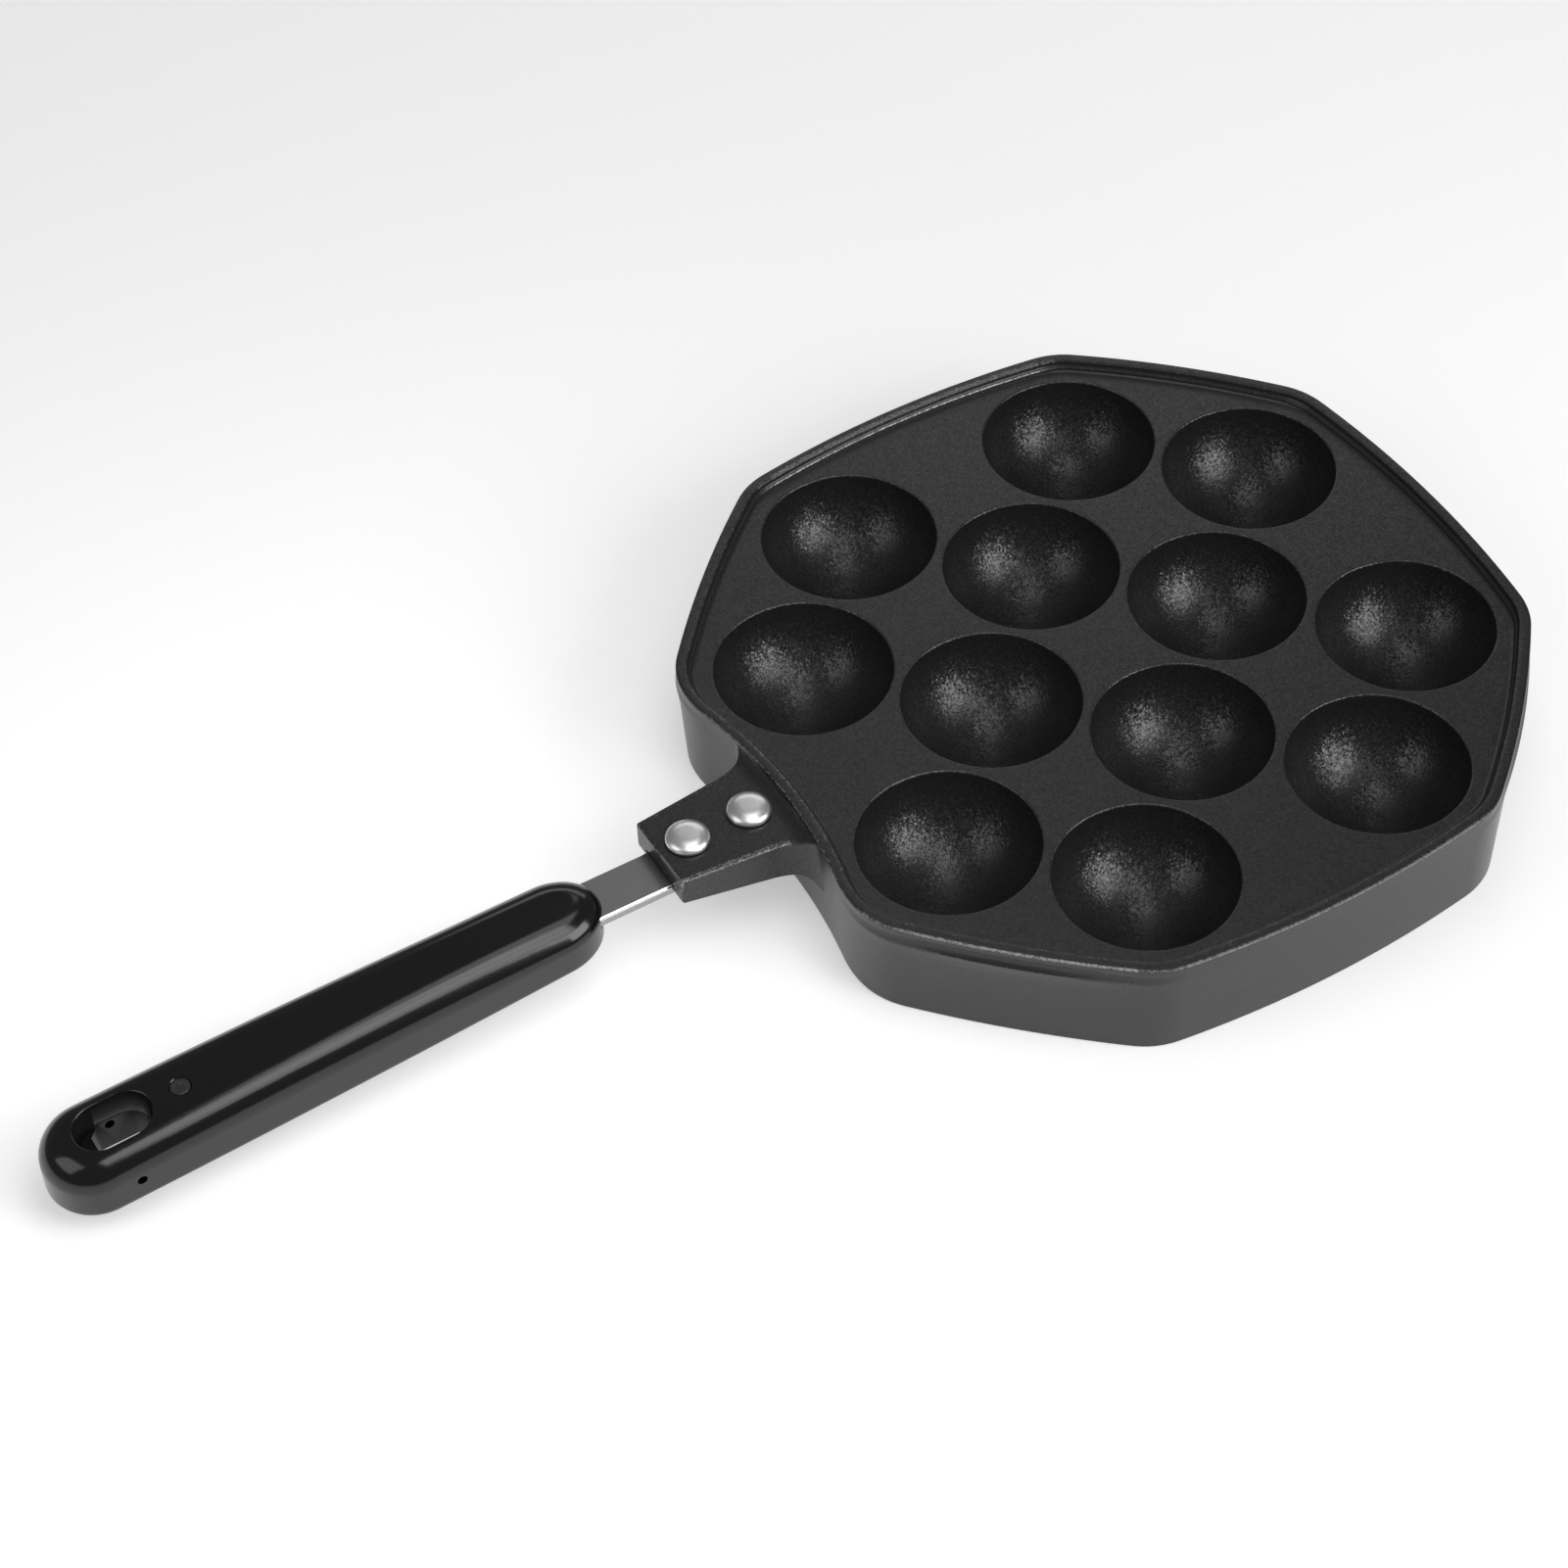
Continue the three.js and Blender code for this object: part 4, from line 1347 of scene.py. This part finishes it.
@dataclass
class Tang:
    """Flat steel strap from the tab's channel into the grip."""

    start_x: float = -91.8
    bend_x: float = -143.6
    end_x: float = -249.0
    top: float = 21.2
    thickness: float = 2.95
    half_width: float = 6.2
    edge_radius: float = 0.6
    edge_fullness: float = 1.45
    edge_steps: int = 8
    end_cut_share: float = 0.6
    bend_degrees: float = 2.3
    front_sections: int = 24
    rear_sections: int = 20

    def fall(self, x: float) -> float:
        """How far the strap has sunk behind its bend."""
        return math.tan(math.radians(self.bend_degrees)) * max(self.bend_x - x, 0.0)

    def build(self, finish: bpy.types.Material) -> bpy.types.Object:
        """Build and dress the strap.

        Args:
            finish: The strip's material.

        Returns:
            The finished piece.
        """
        skin = Skin()
        rings = []
        radius = self.edge_radius
        ends = (self.start_x, self.end_x)
        stations = [self.start_x, self.start_x - radius]
        stations += list(np.linspace(self.start_x - 2, self.bend_x + 1, self.front_sections))
        stations += list(np.linspace(self.bend_x, self.end_x + radius, self.rear_sections)) + [self.end_x]
        sliver = 1e-4
        turn = np.linspace(sliver, QUARTER - sliver, self.edge_steps)
        power = 2 / self.edge_fullness
        for x in stations:
            inset = radius * self.end_cut_share if x in ends else 0.0
            half, drop = self.half_width - inset, self.fall(x)
            high, low = self.top - drop - inset, self.top - self.thickness - drop + inset
            side, roof = half - radius, high - radius
            edge = [
                (side + radius * math.cos(a) ** power, roof + radius * math.sin(a) ** power) for a in turn
            ]
            low_edge = [(y, low + high - z) for y, z in reversed(edge)]
            below = high - radius * 1.2
            section = [(half, below)] + edge + [(-y, z) for y, z in reversed(edge)] + [(-half, below)]
            section += [(-y, z) for y, z in reversed(low_edge)] + low_edge
            # The upper edges are polished and painted near white, partly as a highlight: the wear attribute
            # tells the material so.
            edge_y, edge_z = half - radius * 0.97, high - radius * 1.05
            polished = [1.0 if abs(y) > edge_y and z > edge_z else 0.0 for y, z in section]
            places = np.array([(x, y) for y, _ in section])
            rings.append(skin.ring(places, np.array([z for _, z in section]), np.array(polished)))
        piece = skin.solid(rings, "tang_strap")
        finish_mesh(piece, "tang_strap")
        place_piece(piece, "handle_tang", finish)
        return piece


@dataclass
class Rivet:
    """Round-headed rivet through the tab and the tang."""

    x: float
    node: str
    seat: float = 26.9
    head_radius: float = 5.35
    edge_height: float = 0.4
    dome_height: float = 1.8
    flat_radius: float = 1.7
    shank_radius: float = 2.5
    tail_radius: float = 4.25
    tail_bottom: float = 16.35
    tail_top: float = 17.95
    tuck: float = 0.25
    dome_steps: int = 16
    sides: int = 96
    sharp_degrees: float = 50.0

    def build(self, finish: bpy.types.Material) -> bpy.types.Object:
        """Build and dress the rivet.

        Args:
            finish: The rivet's metal.

        Returns:
            The finished piece.
        """
        tuck = self.tuck
        profile = [
            (self.tail_radius - tuck, self.tail_bottom), (self.tail_radius, self.tail_bottom + tuck),
            (self.tail_radius, self.tail_top), (self.shank_radius, self.tail_top),
            (self.shank_radius, self.seat), (self.head_radius - tuck, self.seat),
            (self.head_radius, self.seat + tuck / 2), (self.head_radius, self.seat + self.edge_height),
        ]
        for step in range(1, self.dome_steps + 1):
            angle = QUARTER * step / self.dome_steps
            profile.append((
                self.flat_radius + (self.head_radius - self.flat_radius) * math.cos(angle),
                self.seat + self.edge_height + self.dome_height * math.sin(angle),
            ))
        piece = lathe(self.node + "_head", profile, self.x, 0.0, self.sides)
        finish_mesh(piece, self.node + "_head", self.sharp_degrees)
        place_piece(piece, self.node, finish)
        return piece


@dataclass
class Grip:
    """Moulded grip with its hanging hole, cross hole and the pin that holds it."""

    # Plan, and heights at three stations that are given as shares of the length
    nose_x: float = -139.6
    end_x: float = -278.75
    nose_length: float = 12.3
    half_widths: tuple[float, float] = (10.28, 12.1)
    station_shares: tuple[float, float, float] = (0.075, 0.47, 0.872)
    tops: tuple[float, float, float] = (25.03, 24.18, 21.63)
    bottoms: tuple[float, float, float] = (11.68, 8.58, 6.33)
    # Shoulder, lower edge and crowned top
    top_radius: float = 6.5
    nose_fall_share: float = 0.72
    nose_fullness: float = 1.9
    full_fall_x: float = -180.0
    bottom_radius: float = 2.4
    crown: float = 0.4
    core_half: float = 0.6
    top_insets: tuple[float, ...] = (7.0, 7.6, 8.3, 9.0)
    end_steps: int = 40
    side_steps: int = 64
    top_steps: int = 14
    bottom_steps: int = 10
    # Hanging hole: a long mouth over a shorter throat
    hang_x: float = -260.9
    hang_half_length: float = 9.1
    hang_half_width: float = 6.2
    hang_steps: int = 32
    mouth_radius: float = 0.5
    mouth_steps: int = 6
    mouth_depth: float = 7.4
    mouth_draft: float = 0.5
    mouth_dull_steps: int = 2
    throat_front_x: float = -252.7
    throat_rear_x: float = -265.3
    throat_corner: float = 2.0
    throat_half: float = 5.5
    throat_draft: float = 0.35
    throat_overlap: float = 1.5
    # Small hole across the rear end
    cross_x: float = -260.45
    cross_radius: float = 1.2
    cross_sides: int = 40
    cross_height_share: float = 0.47
    # Pin through the grip and the tang, and its hole
    pin_x: float = -244.5
    pin_radius: float = 2.3
    pin_shank_radius: float = 1.6
    pin_bottom: float = 12.0
    pin_head_height: float = 2.0
    pin_sunk: float = 0.12
    pin_gap: float = 0.12
    pin_hole_depth: float = 2.6
    pin_hole_flare: float = 0.25
    pin_sides: int = 64
    # Slot for the tang
    slot_half: float = 6.4
    slot_gap: float = 0.25
    slot_lead: float = 8.0

    def along(self, x: float, values: Sequence[float]) -> float:
        """Read off a parabola through the three stations.

        Args:
            x: Place along the grip.
            values: The value at each station.

        Returns:
            The value at the place.
        """
        share = (self.nose_x - x) / (self.nose_x - self.end_x)
        total = 0.0
        for i, value in enumerate(values):
            weight = 1.0
            for j, other in enumerate(self.station_shares):
                if j != i:
                    weight *= (share - other) / (self.station_shares[i] - other)
            total += value * weight
        return total

    def half_width(self, x: float) -> float:
        """Find the half width of the grip.

        Args:
            x: Place along the grip.

        Returns:
            The half width.
        """
        share = (self.nose_x - x) / (self.nose_x - self.end_x)
        first, last = self.station_shares[0], self.station_shares[2]
        narrow, wide = self.half_widths
        return narrow + (wide - narrow) * (share - first) / (last - first)

    def top(self, x: float, y: float) -> float:
        """Height of the crowned top face."""
        return self.along(x, self.tops) + self.crown * max(1 - (y / self.half_width(x)) ** 2, 0.0)

    def shoulder_fall(self, x: float, in_share: float) -> float:
        """How far the shoulder lies below the top face: flatter and slanting at the nose, round behind it.

        Args:
            x: Place along the grip.
            in_share: 1 at the side and 0 where the shoulder meets the top face.

        Returns:
            The fall in millimetres.
        """
        reached = min(max((self.nose_x - x) / (self.nose_x - self.full_fall_x), 0.0), 1.0)
        reached = reached * reached * (3 - 2 * reached)
        height = self.top_radius * (self.nose_fall_share + (1 - self.nose_fall_share) * reached)
        power = self.nose_fullness + (2 - self.nose_fullness) * reached
        return height * (1 - (1 - min(in_share, 1.0) ** power) ** (1 / power))

    def plan(self, inset: float) -> np.ndarray:
        """Make the plan outline.

        Args:
            inset: How far it is moved in.

        Returns:
            The outline's points, from the nose round to the rear and back.
        """
        nose_length = self.nose_length - inset
        rear_radius = self.half_widths[1] - inset
        nose_start = self.nose_x - inset - nose_length
        rear_start = self.end_x + inset + rear_radius
        places = []
        for step in range(self.end_steps + 1):
            angle = math.pi * (step / self.end_steps - 0.5)
            x = nose_start + nose_length * math.cos(angle)
            places.append((x, (self.half_width(x) - inset) * math.sin(angle)))
        for x in np.linspace(nose_start, rear_start, self.side_steps + 1)[1:-1]:
            places.append((x, self.half_width(x) - inset))
        for step in range(self.end_steps + 1):
            angle = math.pi * (step / self.end_steps + 0.5)
            x = rear_start + rear_radius * math.cos(angle)
            places.append((x, (self.half_width(x) - inset) * math.sin(angle)))
        for x in np.linspace(rear_start, nose_start, self.side_steps + 1)[1:-1]:
            places.append((x, -(self.half_width(x) - inset)))
        return np.array(places)

    def blank(self) -> bpy.types.Object:
        """Make the grip without its holes.

        Returns:
            The new object.
        """
        skin = Skin()
        core_inset = self.half_widths[0] - self.core_half
        core = self.plan(core_inset)
        rings = [skin.ring(core, np.array([self.along(x, self.bottoms) for x, _ in core]))]
        for step in range(self.bottom_steps + 1):
            angle = QUARTER * step / self.bottom_steps
            places = self.plan(self.bottom_radius * (1 - math.sin(angle)))
            rise = self.bottom_radius * (1 - math.cos(angle))
            heights = [self.along(x, self.bottoms) + rise for x, _ in places]
            rings.append(skin.ring(places, np.array(heights)))
        for step in range(self.top_steps + 1):
            angle = QUARTER * step / self.top_steps
            places = self.plan(self.top_radius * (1 - math.cos(angle)))
            heights = [self.top(x, y) - self.shoulder_fall(x, math.cos(angle)) for x, y in places]
            rings.append(skin.ring(places, np.array(heights)))
        for inset in (*self.top_insets, core_inset):
            places = self.plan(inset)
            rings.append(skin.ring(places, np.array([self.top(x, y) for x, y in places])))
        skin.stack(rings)
        skin.close_across(rings[0], self.end_steps // 2)
        skin.close_across(rings[-1], self.end_steps // 2)
        return skin.mesh("grip_moulding")

    def stadium(self, grow: float) -> np.ndarray:
        """Make the plan of the hanging hole's mouth.

        Args:
            grow: How far it is grown outwards.

        Returns:
            The outline's points.
        """
        radius = self.hang_half_width + grow
        half = self.hang_half_length - self.hang_half_width
        places = []
        for centre, start in ((self.hang_x + half, -0.5), (self.hang_x - half, 0.5)):
            for step in range(self.hang_steps + 1):
                angle = math.pi * (start + step / self.hang_steps)
                places.append((centre + radius * math.cos(angle), radius * math.sin(angle)))
        return np.array(places)

    def mouth_floor(self) -> float:
        """Height of the ledge between the hanging hole's mouth and its throat."""
        return self.along(self.hang_x, self.tops) - self.mouth_depth

    def mouth(self) -> bpy.types.Object:
        """Make the hanging hole's mouth, with a rounded edge that follows the top face.

        Returns:
            The cutter.
        """
        skin = Skin()
        rings = [skin.ring(self.stadium(-self.mouth_draft), self.mouth_floor(), 1.0)]
        for step in range(self.mouth_steps + 1):
            angle = QUARTER * step / self.mouth_steps
            places = self.stadium(self.mouth_radius * (1 - math.cos(angle)))
            down = self.mouth_radius * (1 - math.sin(angle))
            heights = np.array([self.top(x, y) - down for x, y in places])
            rings.append(skin.ring(places, heights, 1.0 if step < self.mouth_dull_steps else 0.0))
        # The cutter ends well above the top face, a hair wider than the rounded edge.
        above, hair = 4.0, 0.02
        clear_of_top = self.along(self.hang_x, self.tops) + above
        rings.append(skin.ring(self.stadium(self.mouth_radius + hair), clear_of_top))
        return skin.solid(rings, "mouth")

    def throat(self) -> bpy.types.Object:
        """Make the shorter hole with cut corners below the mouth.

        Returns:
            The cutter.
        """
        side, cut = self.throat_half, self.throat_corner
        front, rear = self.throat_front_x, self.throat_rear_x
        places = np.array([
            (rear, cut - side), (rear + cut, -side), (front - cut, -side), (front, cut - side),
            (front, side - cut), (front - cut, side), (rear + cut, side), (rear, side - cut),
        ])
        drafted = places + np.sign(places - [self.hang_x, 0.0]) * self.throat_draft
        high = self.mouth_floor() + self.throat_overlap
        skin = Skin()
        return skin.solid([skin.ring(places, 0.0, 1.0), skin.ring(drafted, high, 1.0)], "throat")

    def cross_hole(self) -> bpy.types.Object:
        """Make the small hole across the grip.

        Returns:
            The cutter.
        """
        low, high = self.along(self.cross_x, self.bottoms), self.along(self.cross_x, self.tops)
        height = low + (high - low) * self.cross_height_share
        round_hole = circle(self.cross_radius, self.cross_sides)
        clear_of_sides = 20.0
        skin = Skin()
        rings = []
        for y in (-clear_of_sides, clear_of_sides):
            places = np.stack([round_hole[:, 0] + self.cross_x, np.full(self.cross_sides, y)], axis=1)
            rings.append(skin.ring(places, round_hole[:, 1] + height))
        return skin.solid(rings, "cross_hole")

    def tang_slot(self, tang: Tang) -> bpy.types.Object:
        """Make the slot that takes the tang.

        Args:
            tang: The strap.

        Returns:
            The cutter.
        """
        gap, half = self.slot_gap, self.slot_half
        skin = Skin()
        rings = []
        for x in (tang.bend_x + self.slot_lead, tang.bend_x, tang.end_x - gap):
            drop = tang.fall(x)
            high, low = tang.top - drop + gap, tang.top - tang.thickness - drop - gap
            places = np.array([(x, -half), (x, half), (x, half), (x, -half)])
            rings.append(skin.ring(places, np.array([low, low, high, high])))
        return skin.solid(rings, "tang_slot")

    def build(self, tang: Tang, finish: bpy.types.Material) -> bpy.types.Object:
        """Build and dress the grip.

        Args:
            tang: The strap that it sits on.
            finish: The resin.

        Returns:
            The finished piece.
        """
        piece = self.blank()
        for tool in (self.tang_slot(tang), self.mouth(), self.throat(), self.cross_hole()):
            carve(piece, tool, Cut.REMOVE)
        pin_top, flare = self.top(self.pin_x, 0.0), self.pin_hole_flare
        radius = self.pin_radius + self.pin_gap
        above, hair = 3.0, 0.02
        hole = [
            (radius, pin_top - self.pin_hole_depth), (radius, pin_top - flare),
            (radius + flare, pin_top + hair), (radius + flare, pin_top + above),
        ]
        carve(piece, lathe("pin_hole", hole, self.pin_x, 0.0, self.pin_sides), Cut.REMOVE)
        finish_mesh(piece, "grip_moulding")
        place_piece(piece, "handle_grip", finish)
        return piece

    def build_pin(self, finish: bpy.types.Material) -> bpy.types.Object:
        """Build and dress the pin, with its rough end in the grip's top face.

        Args:
            finish: The pin's metal.

        Returns:
            The finished piece.
        """
        top, shank = self.top(self.pin_x, 0.0) - self.pin_sunk, self.pin_shank_radius
        seat = top - self.pin_head_height
        bevel, edge_round, edge_steps, dish = 0.2, 0.25, 4, 0.06
        profile = [
            (shank - bevel, self.pin_bottom), (shank, self.pin_bottom + bevel), (shank, seat),
            (self.pin_radius, seat),
        ]
        for step in range(edge_steps + 1):
            angle = QUARTER * step / edge_steps
            radius = self.pin_radius - edge_round * (1 - math.cos(angle))
            profile.append((radius, top - bevel + bevel * math.sin(angle)))
        dish_radii = (1.6, 1.0, 0.5, 0.2)
        profile += [(radius, top - dish) for radius in dish_radii]
        piece = lathe("grip_pin_end", profile, self.pin_x, 0.0, self.pin_sides)
        finish_mesh(piece, "grip_pin_end")
        place_piece(piece, "grip_pin", finish)
        return piece


@dataclass(frozen=True)
class SoftBox:
    """A rectangular studio lamp: where it stands as seen from its aim, its size and how bright it is.

    The distance and size are metres. The aim is a place on the middle plane, in the pan's own axes. A narrow
    beam keeps a lamp off the rest of the object.
    """

    name: str
    azimuth: float
    elevation: float
    distance: float
    width: float
    height: float
    radiance: float
    aim_x: float = 0.0
    beam_degrees: float = 180.0
    aim_height: float = 20.0

    def build(self) -> None:
        """Add the lamp, aimed at its place."""
        target = Vector(to_frame(self.aim_x, 0.0, self.aim_height))
        data = bpy.data.lights.new(self.name, "AREA")
        data.shape = "RECTANGLE"
        data.size = self.width
        data.size_y = self.height
        data.energy = self.radiance * math.pi * self.width * self.height
        data.spread = math.radians(self.beam_degrees)
        lamp = bpy.data.objects.new(self.name, data)
        turn, rise = math.radians(self.azimuth), math.radians(self.elevation)
        level = math.cos(rise)
        away = Vector((math.cos(turn) * level, math.sin(turn) * level, math.sin(rise)))
        lamp.location = target + away * self.distance
        lamp.rotation_euler = away.to_track_quat("Z", "Y").to_euler()
        bpy.context.scene.collection.objects.link(lamp)


@dataclass(frozen=True)
class Studio:
    """Pale floor, soft lamps and the camera."""

    floor_colour: str = "#f2f2f2"
    floor_half: float = 4.0
    floor_roughness: float = 0.9
    floor_level: float = 0.1
    floor_glow: float = 0.4
    ambient: float = 0.17
    camera_place: tuple[float, float, float] = (-0.2781484, -0.509384, 0.6808531)
    camera_degrees: tuple[float, float, float] = (41.758698, 1.654758, -30.641914)
    lens_mm: float = 86.367
    sensor_mm: float = 36.0
    nearest_seen: float = 0.05
    lamps: tuple[SoftBox, ...] = (
        SoftBox("right soft box", -60.0, 34.0, 0.8, 0.55, 0.46, 4.4),
        SoftBox("left soft box", 174.0, 36.0, 0.95, 0.5, 0.5, 1.35),
        SoftBox("overhead soft box", 60.0, 86.0, 0.75, 0.3, 0.42, 1.45),
        SoftBox("low strip behind", 60.0, 32.0, 1.2, 0.9, 0.25, 1.25),
        SoftBox("board behind", 58.0, 48.0, 2.0, 0.42, 0.36, 0.72),
        SoftBox(
            "card beside the handle", -66.0, 62.0, 0.34, 0.26, 0.24, 0.48, aim_x=-209.0, beam_degrees=70.0
        ),
    )

    def build(self) -> None:
        """Build the floor, lamps, world and camera."""
        scene = bpy.context.scene
        scene.view_settings.view_transform = "Standard"
        scene.view_settings.look = "None"
        world = bpy.data.worlds.new("studio")
        scene.world = world
        world.use_nodes = True
        sky = world.node_tree.nodes["Background"]
        sky.inputs["Color"].default_value = WHITE
        sky.inputs["Strength"].default_value = self.ambient
        for lamp in self.lamps:
            lamp.build()
        self.floor()
        data = bpy.data.cameras.new("camera")
        data.lens = self.lens_mm
        data.sensor_width = self.sensor_mm
        data.clip_start = self.nearest_seen
        camera = bpy.data.objects.new("camera", data)
        camera.location = self.camera_place
        camera.rotation_euler = [math.radians(a) for a in self.camera_degrees]
        scene.collection.objects.link(camera)
        scene.camera = camera

    def floor(self) -> None:
        """Add the pale floor."""
        half = self.floor_half
        data = bpy.data.meshes.new("floor")
        corners = [(-half, -half, 0), (half, -half, 0), (half, half, 0), (-half, half, 0)]
        data.from_pydata(corners, [], [(0, 1, 2, 3)])
        # It gives a nearly white ground, with only a soft grey beside the object.
        finish = bpy.data.materials.new("opal acrylic table, lit from below")
        finish.use_nodes = True
        shader = finish.node_tree.nodes["Principled BSDF"]
        for socket, value in {
            "Base Color": linear_colour(self.floor_colour), "Roughness": self.floor_roughness,
            "Specular IOR Level": self.floor_level,
            "Emission Color": WHITE, "Emission Strength": self.floor_glow,
        }.items():
            shader.inputs[socket].default_value = value
        data.materials.append(finish)
        floor = bpy.data.objects.new("floor", data)
        bpy.context.scene.collection.objects.link(floor)


def main() -> None:
    """Build the pan piece by piece, then the studio."""
    logging.basicConfig(level=logging.INFO, format="%(name)s: %(message)s")
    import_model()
    Studio().build()
    tang = Tang()
    grip = Grip()
    # It gives the rivets a clear bright face with a soft edge to what it mirrors.
    bright = MetalFinish(
        name="steel rivet, cold headed and polished", metal="#f4f4f4", shade="#ececed",
        roughness=0.31, dent_mm=2.6, dent_depth_mm=0.004,
    )
    # It gives the pin a dark, rough end that mirrors nothing.
    dull = MetalFinish(
        name="steel pin end, cropped and oxidised", metal="#6c6c6c", shade="#1c1c1c",
        roughness=0.45, dent_mm=0.7, dent_depth_mm=0.12,
    )
    rivets = [Rivet(x=-99.2, node="rivet_inner"), Rivet(x=-115.55, node="rivet_outer")]
    Casting().build([rivet.x for rivet in rivets], NonStickCoating().material())
    tang.build(RolledSteel().material())
    bright_finish = bright.material()
    for rivet in rivets:
        rivet.build(bright_finish)
    grip.build(tang, MouldedPhenolic().material())
    grip.build_pin(dull.material())


if __name__ == "__main__":
    main()
